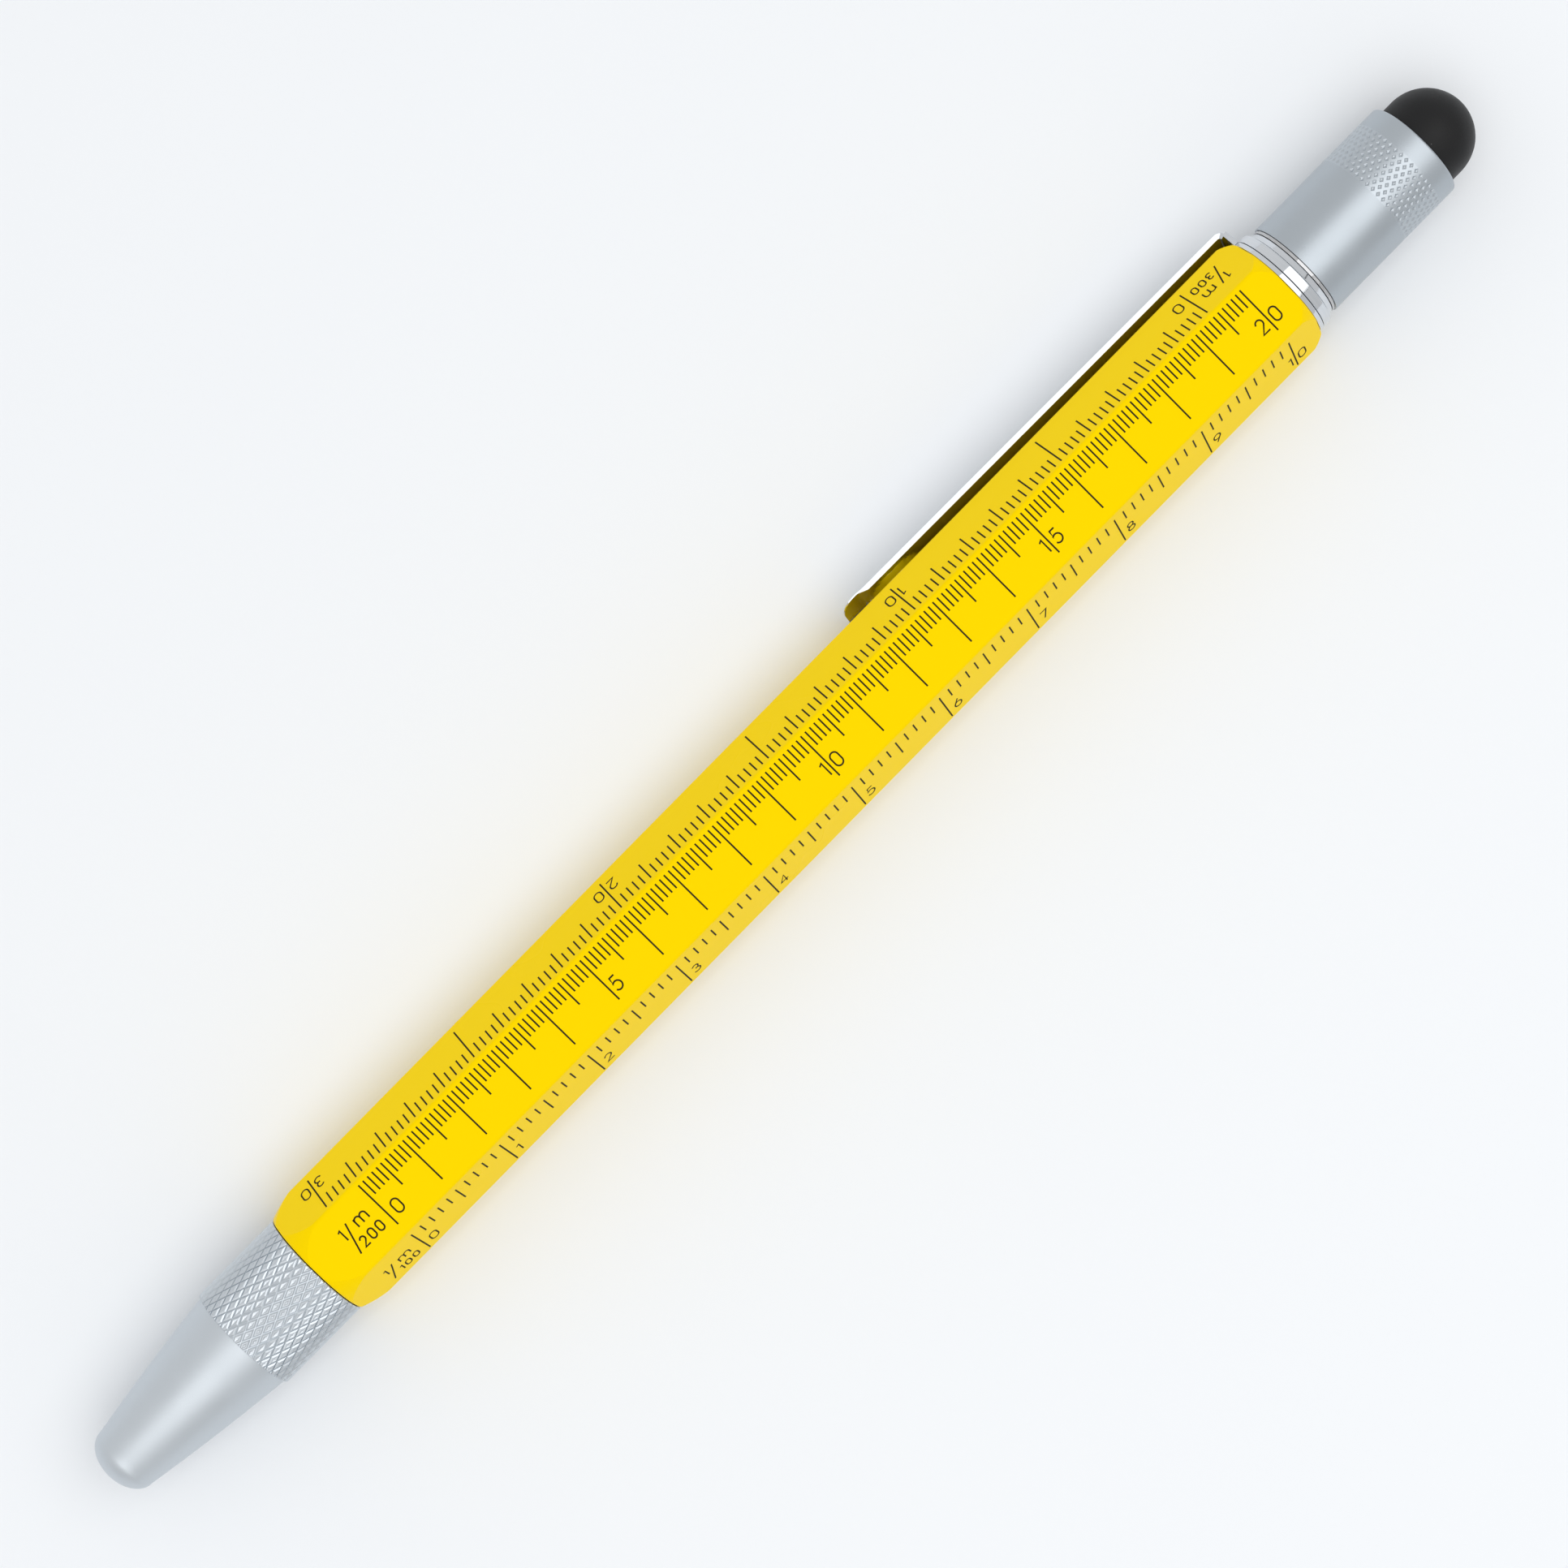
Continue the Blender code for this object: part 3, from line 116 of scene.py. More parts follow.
def new_group(name, inputs, outputs):
    """Starts a node group with named number inputs and outputs, and returns it with its two end nodes."""
    group = bpy.data.node_groups.new(name, "ShaderNodeTree")
    for label, value in inputs.items():
        socket = group.interface.new_socket(label, in_out="INPUT", socket_type="NodeSocketFloat")
        socket.default_value = value
    for label in outputs:
        group.interface.new_socket(label, in_out="OUTPUT", socket_type="NodeSocketFloat")
    return group, add_node(group, "NodeGroupInput"), add_node(group, "NodeGroupOutput")


def per_metre(tree, per_mm):
    """Turns a count per millimetre into one per metre, the unit of object coordinates."""
    return add_node(tree, "ShaderNodeMath", {0: per_mm, 1: 1 / MM}, operation="MULTIPLY").outputs[0]

# %% [markdown]
# Blasted metal, lacquer, rubber and moulded plastic all have a fine grain, at different sizes. One group
# makes it from two layers of noise: a fine one for the tooth of the surface and a broad one for slow
# changes, such as the cloudiness of a satin finish. The height goes to a bump and the cloud to colour or
# roughness.

# %% Grain group
grain, start, end = new_group("Surface grain", {"Grains per mm": 12.0, "Clouds per mm": 0.3},
                              ["Height", "Cloud"])
place = add_node(grain, "ShaderNodeTexCoord").outputs["Object"]
fine = per_metre(grain, start.outputs["Grains per mm"])
broad = per_metre(grain, start.outputs["Clouds per mm"])
tooth = add_node(grain, "ShaderNodeTexNoise", {"Vector": place, "Scale": fine, "Detail": 2.0})
cloud = add_node(grain, "ShaderNodeTexNoise", {"Vector": place, "Scale": broad, "Detail": 3.0})
grain.links.new(tooth.outputs["Fac"], end.inputs["Height"])
grain.links.new(cloud.outputs["Fac"], end.inputs["Cloud"])
print("Group:", grain.name)

# %% [markdown]
# A lathe leaves fine rings around a turned piece. They are noise that changes quickly along the pen and
# hardly at all around it, so the same group serves chrome, steel and brass with different strengths.

# %% Turning marks group
ACROSS = 120.0  # cells of noise in a metre across the pen
turning, start, end = new_group("Turning marks", {"Rings per mm": 25.0}, ["Height", "Streak"])
place = add_node(turning, "ShaderNodeTexCoord").outputs["Object"]
marks_along = per_metre(turning, start.outputs["Rings per mm"])
stretch = add_node(turning, "ShaderNodeCombineXYZ", {"X": marks_along, "Y": ACROSS, "Z": ACROSS})
along = add_node(turning, "ShaderNodeVectorMath", {0: place, 1: stretch.outputs[0]}, operation="MULTIPLY")
marks = add_node(turning, "ShaderNodeTexNoise", {"Vector": along.outputs[0], "Scale": 1.0, "Detail": 3.0})
turning.links.new(marks.outputs["Fac"], end.inputs["Height"])
streak = add_node(turning, "ShaderNodeMapRange", {"Value": marks.outputs["Fac"], "From Min": 0.35,
                                                  "From Max": 0.65})
turning.links.new(streak.outputs[0], end.inputs["Streak"])
print("Group:", turning.name)

# %% [markdown]
# Soft rubber gathers dust. A few bright specks on a dark ground come from a cell texture: only the middle
# of each cell counts, and only in the few cells that a random value picks.

# %% Dust group
dust, start, end = new_group("Dust specks", {"Cells per mm": 3.0, "Share": 0.12}, ["Mask"])
place = add_node(dust, "ShaderNodeTexCoord").outputs["Object"]
cell_count = per_metre(dust, start.outputs["Cells per mm"])
cells = add_node(dust, "ShaderNodeTexVoronoi", {"Vector": place, "Scale": cell_count})
dot = add_node(dust, "ShaderNodeMapRange", {"Value": cells.outputs["Distance"], "From Min": 0.2,
                                            "From Max": 0.08})
pick = add_node(dust, "ShaderNodeMath", {0: cells.outputs["Color"], 1: start.outputs["Share"]},
                operation="LESS_THAN")
speck = add_node(dust, "ShaderNodeMath", {0: dot.outputs[0], 1: pick.outputs[0]}, operation="MULTIPLY")
dust.links.new(speck.outputs[0], end.inputs["Mask"])
print("Group:", dust.name)

# %% [markdown]
# Each finish is a Principled shader with its own plain values, and the groups add what changes over the
# surface: two tones for the colour, a range for the roughness, and a bump. Writing out the same nodes for
# every finish would be hard to read, so one helper builds them from the group, the tones and the ranges.

# %% Building a finish
NOISE_LOW, NOISE_HIGH = 0.3, 0.7  # most of a noise lies between these
FIRST_COLOUR, SECOND_COLOUR, MIXED_COLOUR = 6, 7, 2  # a Mix node's sockets for colours


def finish(name, group, settings, tones, roughness, strength, depth, change_from="Cloud", **plain):
    """A material whose colour and roughness wander between two values, with a bump of depth millimetres."""
    material = bpy.data.materials.new(name)
    material.use_nodes = True
    tree = material.node_tree
    shader = tree.nodes["Principled BSDF"]
    for socket, value in plain.items():
        shader.inputs[socket.replace("_", " ")].default_value = value
    detail = add_node(tree, "ShaderNodeGroup", node_tree=group)
    for socket, value in settings.items():
        detail.inputs[socket].default_value = value
    change = detail.outputs[change_from]
    colour = add_node(tree, "ShaderNodeMix", {0: change}, data_type="RGBA")
    colour.inputs[FIRST_COLOUR].default_value = (*tones[0], 1)
    colour.inputs[SECOND_COLOUR].default_value = (*tones[1], 1)
    tree.links.new(colour.outputs[MIXED_COLOUR], shader.inputs["Base Color"])
    gloss = add_node(tree, "ShaderNodeMapRange", {"Value": change, "From Min": NOISE_LOW,
                                                  "From Max": NOISE_HIGH, "To Min": roughness[0],
                                                  "To Max": roughness[1]})
    tree.links.new(gloss.outputs[0], shader.inputs["Roughness"])
    bump = add_node(tree, "ShaderNodeBump", {"Strength": strength, "Distance": depth * MM,
                                             "Height": detail.outputs["Height"]})
    tree.links.new(bump.outputs[0], shader.inputs["Normal"])
    return material

# %% [markdown]
# The pen's own finishes. The lacquer is a deep yellow with a hint of orange peel, and its gloss is
# tinted, so that a white room doesn't wash it out. The two caps are blasted and satin chromed, which is a
# metal of middling roughness with a fine tooth. The stylus cap's satin has darker tones than the front
# cap's, which is painted shade for the lesser light it gets from the room. Where a knurl was rolled or
# pressed into them the metal is burnished, so each cap has a smoother finish for its knurl, and the
# stylus cap's knurl has the same painted shade. The rest are the usual finishes of such a pen: chrome on
# the clip and collar, brushed steel on the tool, brass for the threaded sleeves, three plastics, and the
# ink of the scales.

# %% The pen's finishes
yellow_lacquer = finish("yellow_lacquer", grain, {"Grains per mm": 1.2, "Clouds per mm": 0.05},
                        tones=((0.95, 0.66, 0.0), (0.97, 0.68, 0.0)), roughness=(0.24, 0.32),
                        strength=0.12, depth=0.02, Specular_IOR_Level=0.12,
                        Specular_Tint=(1, 0.85, 0.08, 1))
front_satin = finish("front_satin", grain, {"Grains per mm": 14.0, "Clouds per mm": 0.25},
                     tones=((0.60, 0.64, 0.675), (0.63, 0.67, 0.705)), roughness=(0.44, 0.52),
                     strength=0.35, depth=0.02, Metallic=1.0)
rolled_satin = finish("rolled_satin", grain, {"Grains per mm": 14.0, "Clouds per mm": 0.25},
                      tones=((0.595, 0.635, 0.67), (0.625, 0.665, 0.70)), roughness=(0.26, 0.34),
                      strength=0.2, depth=0.02, Metallic=1.0)
# The stylus cap's satin has darker tones than the front cap's: painted shade for the lesser room light this
# cap gets.
stylus_satin_shaded = finish("stylus_satin_shaded", grain, {"Grains per mm": 16.0, "Clouds per mm": 0.3},
                      tones=((0.455, 0.495, 0.53), (0.485, 0.525, 0.56)), roughness=(0.37, 0.44),
                      strength=0.35, depth=0.02, Metallic=1.0)
# The stylus cap's knurl carries the same painted shade in its darker tones.
pressed_satin_shaded = finish("pressed_satin_shaded", grain, {"Grains per mm": 16.0, "Clouds per mm": 0.3},
                       tones=((0.48, 0.52, 0.555), (0.51, 0.55, 0.585)), roughness=(0.32, 0.40),
                       strength=0.2, depth=0.02, Metallic=1.0)
chrome = finish("chrome", turning, {"Rings per mm": 9.0}, tones=((0.66, 0.69, 0.72), (0.70, 0.72, 0.745)),
                roughness=(0.04, 0.09), strength=0.05, depth=0.005, change_from="Streak", Metallic=1.0)
brushed_steel = finish("brushed_steel", turning, {"Rings per mm": 22.0},
                       tones=((0.50, 0.50, 0.51), (0.60, 0.60, 0.60)), roughness=(0.22, 0.36),
                       strength=0.3, depth=0.01, change_from="Streak", Metallic=1.0)
brass = finish("brass", turning, {"Rings per mm": 14.0}, tones=((0.70, 0.50, 0.20), (0.80, 0.60, 0.27)),
               roughness=(0.22, 0.36), strength=0.3, depth=0.01, change_from="Streak", Metallic=1.0)
black_plastic = finish("black_plastic", grain, {"Grains per mm": 6.0, "Clouds per mm": 0.4},
                       tones=((0.012, 0.012, 0.014), (0.020, 0.020, 0.022)), roughness=(0.22, 0.34),
                       strength=0.15, depth=0.01)
liner_plastic = finish("liner_plastic", grain, {"Grains per mm": 5.0, "Clouds per mm": 0.4},
                       tones=((0.68, 0.68, 0.66), (0.76, 0.76, 0.74)), roughness=(0.4, 0.55),
                       strength=0.2, depth=0.01)
clear_plastic = finish("clear_plastic", grain, {"Grains per mm": 2.0, "Clouds per mm": 0.2},
                       tones=((0.86, 0.90, 0.92), (0.92, 0.95, 0.96)), roughness=(0.04, 0.12),
                       strength=0.05, depth=0.01, Transmission_Weight=0.9, IOR=1.49)
ink = finish("ink", grain, {"Grains per mm": 9.0, "Clouds per mm": 1.0},
             tones=((0.026, 0.018, 0.003), (0.036, 0.024, 0.004)), roughness=(0.5, 0.6),
             strength=0.2, depth=0.004, Specular_IOR_Level=0.1)
print("Finishes:", len(bpy.data.materials))

# %% [markdown]
# Rubber needs the dust group as well, so it takes the same helper and then has its colour mixed once
# more. The specks are lighter than the rubber under them.

# %% Rubber with dust
rubber = finish("rubber", grain, {"Grains per mm": 9.0, "Clouds per mm": 0.5},
                tones=((0.006, 0.006, 0.0065), (0.010, 0.010, 0.0105)), roughness=(0.46, 0.56),
                strength=0.6, depth=0.02, Specular_IOR_Level=0.25)
DUST_COLOUR = (0.10, 0.10, 0.10, 1)
tree = rubber.node_tree
specks = add_node(tree, "ShaderNodeGroup", node_tree=dust)
shader = tree.nodes["Principled BSDF"]
plain_colour = shader.inputs["Base Color"].links[0].from_socket
dusted = add_node(tree, "ShaderNodeMix", {0: specks.outputs["Mask"], FIRST_COLOUR: plain_colour},
                  data_type="RGBA")
dusted.inputs[SECOND_COLOUR].default_value = DUST_COLOUR
tree.links.new(dusted.outputs[MIXED_COLOUR], shader.inputs["Base Color"])
print("Rubber takes dust from", dust.name)

# %% [markdown]
# ## Turned pieces
# Most of a pen is turned on a lathe, so most pieces are an outline swept round the axis. The sweep is
# written out here instead of using a Screw modifier, because some outlines change on the way round: a
# hexagon's radius depends on the angle. A point of an outline is therefore a pair of numbers, or a
# function of the angle that returns such a pair.

# %% Sweeping an outline round the axis
COLUMNS, SAME_SPOT = 128, 0.0005
EVEN_TURN = [360 * step / COLUMNS for step in range(COLUMNS)]


def swept(outline, angles=EVEN_TURN):
    """The surface that an outline of (station, radius) points makes round the axis."""
    shape = bmesh.new()
    columns = []
    for angle in angles:
        spots = [point(angle) if callable(point) else point for point in outline]
        across, up = math.sin(math.radians(angle)), math.cos(math.radians(angle))
        columns.append([shape.verts.new((s, r * across, r * up)) for s, r in spots])
    for left, right in zip(columns, columns[1:] + columns[:1]):
        for row in range(len(outline) - 1):
            shape.faces.new((left[row], left[row + 1], right[row + 1], right[row]))
    bmesh.ops.remove_doubles(shape, verts=shape.verts, dist=SAME_SPOT)
    bmesh.ops.dissolve_degenerate(shape, edges=shape.edges, dist=SAME_SPOT)
    return shape


LONGEST_EASE, SMALLEST_EASE, STRAIGHT = 0.45, 0.004, math.radians(168)


def eased(corners, ease, steps=3):
    """Rounds each corner of an outline a little, as a deburred edge is, so that it catches the light."""
    points = [corners[0]]
    for before, corner, after in zip(corners, corners[1:], corners[2:]):
        before, corner, after = Vector(before), Vector(corner), Vector(after)
        back, ahead = before - corner, after - corner
        reach = min(ease, back.length * LONGEST_EASE, ahead.length * LONGEST_EASE)
        if reach < SMALLEST_EASE or back.angle(ahead, 0) > STRAIGHT:
            points.append(tuple(corner))
            continue
        first, last = corner + back.normalized() * reach, corner + ahead.normalized() * reach
        for step in range(steps + 1):
            share = step / steps
            points.append(tuple(first.lerp(corner, share).lerp(corner.lerp(last, share), share)))
    return points + [corners[-1]]


def curve(centre, radii, first, last, steps):
    """Points on an ellipse between two angles, in degrees from the first axis towards the second."""
    turns = [math.radians(first + (last - first) * step / steps) for step in range(steps + 1)]
    return [(centre[0] + radii[0] * math.cos(t), centre[1] + radii[1] * math.sin(t)) for t in turns]

# %% [markdown]
# ## The barrel
# The barrel is a hexagonal bar with softly rounded long edges. Both ends are turned down on the lathe,
# which cuts scallops into the flats where the turned cone meets them. A Boolean of a bar and a cone would
# give the same form, but its long thin faces shade badly under lacquer. So the outline is swept with
# enough columns on each flat, and in each column the turned end stops exactly where the cone meets the
# hexagon.

# %% The hexagon's radius
FLATS, EDGE_FILLET, BARREL_LENGTH = 9.95, 0.4, 110.3
APOTHEM = FLATS / 2
CORNER = APOTHEM / math.cos(math.pi / 6)
FILLET_CENTRE = (APOTHEM - EDGE_FILLET) / math.cos(math.pi / 6)
FLAT_ANGLE = math.degrees(math.atan((APOTHEM - EDGE_FILLET) * math.tan(math.pi / 6) / APOTHEM))


def hex_radius(angle):
    """The barrel's radius at an angle in degrees from the 1/200 face."""
    from_face = abs((angle + 30) % 60 - 30)
    if from_face <= FLAT_ANGLE:
        return APOTHEM / math.cos(math.radians(from_face))
    to_corner = math.radians(30 - from_face)
    reach = (FILLET_CENTRE * math.sin(to_corner)) ** 2
    return FILLET_CENTRE * math.cos(to_corner) + math.sqrt(EDGE_FILLET ** 2 - reach)


HALF_FLAT_STEPS, FILLET_STEPS = 14, 6
offsets = [FLAT_ANGLE * math.sin(math.pi / 2 * step / HALF_FLAT_STEPS)
           for step in range(-HALF_FLAT_STEPS, HALF_FLAT_STEPS + 1)]
offsets += [FLAT_ANGLE + (60 - 2 * FLAT_ANGLE) * step / FILLET_STEPS for step in range(1, FILLET_STEPS)]
hex_angles = sorted((60 * face + offset) % 360 for face in range(6) for offset in offsets)
print("Barrel corners are", round(2 * hex_radius(30), 2), "mm across,", len(hex_angles), "columns")

# %% [markdown]
# On the real pen a lathe takes the corners off, so the turned surface meets the hexagon at once in the
# middle of a flat and last at a corner. A cone-shaped cutter could take them off too. Here each column
# works out for itself where the turned surface ends, which keeps the line between the two crisp.

# %% The barrel's turned ends
FRONT_TURN, REAR_TURN = (5.02, 3.5), (5.13, 1.7)  # radius of the end, length of the turned run
END_EASE, TURN_STEPS = 0.07, 12
SEAT, BORE, FRONT_SEAT_END, REAR_SEAT_START = 4.2, 3.8, 9.1, 102.2


def turned_end(end, inward, radius, length, share):
    """A point of a turned end, from the end face at 0 to where it meets the hexagon at 1."""
    def spot(angle):
        full = hex_radius(angle)
        lift = min(max((full - radius) / (CORNER - radius), 0), 1)
        run = length * 2 / math.pi * math.asin(lift) * share
        across = radius + (CORNER - radius) * math.sin(math.pi / 2 * run / length)
        return end + inward * max(run, END_EASE), min(across, full)
    return spot


def end_edge(end, inward, radius):
    """The eased edge of an end face."""
    return lambda angle: (end, min(hex_radius(angle), radius) - END_EASE)


shares = [step / TURN_STEPS for step in range(TURN_STEPS + 1)]
outline = [(FRONT_SEAT_END, BORE), (FRONT_SEAT_END, SEAT), (0, SEAT), end_edge(0, 1, FRONT_TURN[0])]
outline += [turned_end(0, 1, *FRONT_TURN, share) for share in shares]
outline += [turned_end(BARREL_LENGTH, -1, *REAR_TURN, share) for share in reversed(shares)]
outline += [end_edge(BARREL_LENGTH, -1, REAR_TURN[0]), (BARREL_LENGTH, SEAT)]
outline += [(REAR_SEAT_START, SEAT), (REAR_SEAT_START, BORE), (FRONT_SEAT_END, BORE)]
shape = swept(outline, hex_angles)
barrel_body = add_piece("barrel_body", shape, yellow_lacquer, "barrel", "barrel", sharp=14)

# %% [markdown]
# ## The printed scales
# Three scales show in the photograph, and they are what makes the pen a ruler. An image texture would
# blur, so each line is a real film of ink, a few microns proud of the lacquer, which stays sharp from any
# distance. A scale is described the way a draughtsman would: the length of one unit, and after how many
# small steps a middle line, a long line and a number come. A stroke of ink is a chain of small loops
# joined by bands of faces, and the knurls and the clip further on are joined in the same way.

# %% Ink strokes
STROKE, INK_LIFT, INK_SINK = 0.14, 0.008, 0.05
CLOSED_GAP, SHARPEST_MITRE = 0.01, 0.6


def bridge(shape, first, second):
    """Joins two loops of as many corners with a band of faces."""
    for corner in range(len(first)):
        other = (corner + 1) % len(first)
        shape.faces.new((first[corner], first[other], second[other], second[corner]))


def ink_ribbon(shape, to_face, points):
    """Lays a line of ink along flat points on a face, with mitred corners."""
    closed = (Vector(points[0]) - Vector(points[-1])).length < CLOSED_GAP
    spots = [Vector(point) for point in (points[:-1] if closed else points)]
    rails = []
    for index, spot in enumerate(spots):
        before = spots[index - 1] if index or closed else None
        after = spots[(index + 1) % len(spots)] if index + 1 < len(spots) or closed else None
        ways = [way.normalized() for way in (before and spot - before, after and after - spot) if way]
        way = sum(ways, Vector((0, 0))).normalized()
        side = Vector((-way.y, way.x)) * STROKE / 2 / max(way.dot(ways[0]), SHARPEST_MITRE)
        rails.append([shape.verts.new(to_face @ Vector((*(spot + turn * side), level)))
                      for turn, level in ((1, INK_LIFT), (-1, INK_LIFT), (-1, -INK_SINK), (1, -INK_SINK))])
    for first, second in zip(rails, rails[1:] + rails[:1] if closed else rails[1:]):
        bridge(shape, first, second)
    if not closed:
        shape.faces.new(rails[0])
        shape.faces.new(rails[-1])

# %% [markdown]
# The figures are drawn with one even line, as a draughtsman's stencil does, so a figure is a few open or
# closed strokes. Each is kept in a box 1 high, and its bows are parts of ellipses, given by their middle,
# their two radii and the angles where they start and end.

# %% Stencil figures
def bow(x, y, across, up, first, last, steps=14):
    """Points on an ellipse between two angles in degrees."""
    return curve((x, y), (across, up), first, last, steps)


FIGURES = {
    "0": [bow(0.29, 0.71, 0.29, 0.29, 0, 180) + bow(0.29, 0.29, 0.29, 0.29, 180, 360) + [(0.58, 0.71)]],
    "1": [[(0, 0.88), (0.22, 1), (0.22, 0)]],
    "2": [bow(0.28, 0.71, 0.27, 0.29, 165, -30) + [(0, 0), (0.58, 0)]],
    "3": [bow(0.27, 0.75, 0.24, 0.25, 150, -90, 12) + bow(0.27, 0.26, 0.28, 0.26, 90, -155, 12)],
    "4": [[(0.62, 0.27), (0, 0.27), (0.44, 1), (0.44, 0)]],
    "5": [[(0.53, 1), (0.14, 1), (0.06, 0.53)] + bow(0.27, 0.32, 0.31, 0.32, 132, -150)],
    "6": [[(0.40, 1)] + bow(0.29, 0.30, 0.28, 0.30, 160, 520, 24)],
    "7": [[(0, 1), (0.56, 1), (0.2, 0)]],
    "8": [bow(0.28, 0.76, 0.24, 0.24, -90, 270, 22), bow(0.28, 0.26, 0.28, 0.26, 90, 450, 22)],
    "9": [[(0.17, 0)] + bow(0.28, 0.70, 0.28, 0.30, -20, 340, 24)],
    "m": [[(0, 0), (0, 0.66)], bow(0.24, 0.42, 0.24, 0.24, 180, 0, 10) + [(0.48, 0)],
          bow(0.72, 0.42, 0.24, 0.24, 180, 0, 10) + [(0.96, 0)]],
    "c": [bow(0.3, 0.33, 0.3, 0.33, 50, 310, 16)],
    "i": [[(0.05, 0), (0.05, 0.66)], [(0.05, 0.86), (0.05, 0.92)]],
    "n": [[(0, 0), (0, 0.66)], bow(0.26, 0.4, 0.26, 0.26, 180, 0, 10) + [(0.52, 0)]],
}
WIDTHS = {figure: max(x for stroke in strokes for x, _ in stroke) for figure, strokes in FIGURES.items()}
SPACING = 0.22
print("Figures:", "".join(FIGURES))


def write(shape, to_face, text, left, base, height, spacing=SPACING):
    """Writes figures from a left edge."""
    for figure in text:
        for stroke in FIGURES[figure]:
            ink_ribbon(shape, to_face, [(left + x * height, base + y * height) for x, y in stroke])
        left += (WIDTHS[figure] + spacing) * height


def written_width(text, height, spacing=SPACING):
    """How long some figures are."""
    return (sum(WIDTHS[figure] + spacing for figure in text) - spacing) * height

# %% [markdown]
# Every scale lies on one flat, with its lines hanging from the edge it shares with its neighbour and its
# numbers at their far ends. The 1/300 scale reads from the other side of the pen, so its face is turned
# half round. A number of two figures stands on both sides of its line, and a single one to its right.

# %% Laying out a scale
LINE_START, LONG, HALF, SHORT = 2.54, 4.44, 2.46, 1.46
FIGURE_HEIGHT, FIGURE_BASE, GAP, WIDE_GAP = 1.24, -1.4, 0.4, 0.66
FACE_200, FACE_300, FACE_CLIP, FACE_INCH, FACE_CENTIMETRE, FACE_100 = 0, 60, 120, 180, 240, 300
ZERO, INCH = 7.28, 25.4


def face_matrix(angle, zero, reverse=False, shift=0.0):
    """Takes flat points beside a scale's zero line to the pen: along the text, up the text, and outward."""
    turn = math.radians(angle)
    outward = Vector((0, math.sin(turn), math.cos(turn)))
    up = Vector((0, math.cos(turn), -math.sin(turn))) * (-1 if reverse else 1)
    along = Vector((-1 if reverse else 1, 0, 0))
    matrix = Matrix((along, up, outward)).transposed().to_4x4()
    matrix.translation = outward * APOTHEM + up * shift + Vector((zero, 0, 0))
    return matrix


def make_scale(to_face, step, half, long, number, total, worth, gap=GAP, start=LINE_START):
    """A printed scale: a line every step, longer ones after so many steps, and numbers."""
    shape = bmesh.new()
    for index in range(total + 1):
        length = LONG if index % long == 0 else HALF if index % half == 0 else SHORT
        ink_ribbon(shape, to_face, [(index * step, start), (index * step, start - length)])
        if index % number == 0:
            figures = str(index // number * worth)
            beside = gap if index and len(figures) == 1 else GAP if index else WIDE_GAP
            if len(figures) == 2:
                width = written_width(figures[0], FIGURE_HEIGHT)
                write(shape, to_face, figures[0], index * step - GAP - width, FIGURE_BASE, FIGURE_HEIGHT)
            write(shape, to_face, figures[-1], index * step + beside, FIGURE_BASE, FIGURE_HEIGHT)
    return shape

# %% [markdown]
# A ratio such as 1/200 stands ahead of the zero line: a small 1, a long slash, and after it an m with the
# number below. Their places are set once, because all three scales share one layout.

# %% Writing a ratio
ONE_LEFT, ONE_BASE, ONE_HEIGHT = -3.88, 0.03, 1.02
SLASH_FOOT, SLASH_HEAD = (-3.7, -1.46), (-2.9, 1.16)
RATIO_RIGHT, RATIO_BASE, RATIO_HEIGHT, RATIO_SPACING = -0.83, -1.36, 0.88, 0.4
METRE_LEFT, METRE_BASE, METRE_HEIGHT = -2.28, 0.14, 1.18


def write_ratio(shape, to_face, ratio, ahead=0.0):
    """The fraction at the start of a scale, with its m above the number under the slash."""
    write(shape, to_face, "1", ahead + ONE_LEFT, ONE_BASE, ONE_HEIGHT)
    ink_ribbon(shape, to_face, [(ahead + x, y) for x, y in (SLASH_FOOT, SLASH_HEAD)])
    left = ahead + RATIO_RIGHT - written_width(ratio, RATIO_HEIGHT, RATIO_SPACING)
    write(shape, to_face, ratio, left, RATIO_BASE, RATIO_HEIGHT, RATIO_SPACING)
    write(shape, to_face, "m", ahead + METRE_LEFT, METRE_BASE, METRE_HEIGHT)

# %% [markdown]
# The 1/300 scale counts back from the other end, so its zero lies 97 mm further along. It and the 1/100
# scale are printed a little further in from their edges. A call names what it sets, so that the scale can
# be read off it.

# %% The scales that show
ZERO_300, START_300, AHEAD_300 = ZERO + 97, 2.43, 0.13
START_100, SHIFT_100 = 2.44, -0.45
scale_200 = face_matrix(FACE_200, ZERO)
shape = make_scale(scale_200, step=0.5, half=5, long=10, number=50, total=200, worth=5)
write_ratio(shape, scale_200, "200")
add_piece("scale_1_200", shape, ink, "barrel")
scale_300 = face_matrix(FACE_300, ZERO_300, reverse=True)
shape = make_scale(scale_300, step=2 / 3, half=5, long=25, number=50, total=150, worth=10, start=START_300)
write_ratio(shape, scale_300, "300", AHEAD_300)
add_piece("scale_1_300", shape, ink, "barrel")
scale_100 = face_matrix(FACE_100, ZERO, shift=SHIFT_100)
shape = make_scale(scale_100, step=1, half=5, long=10, number=10, total=100, worth=1, gap=WIDE_GAP,
                   start=START_100)
write_ratio(shape, scale_100, "100")
add_piece("scale_1_100", shape, ink, "barrel")

# %% [markdown]
# The two faces underneath can't be seen in the photograph. Such pens carry a centimetre and an inch rule
# there, so these are laid out in the same hand. The face under the clip stays bare.

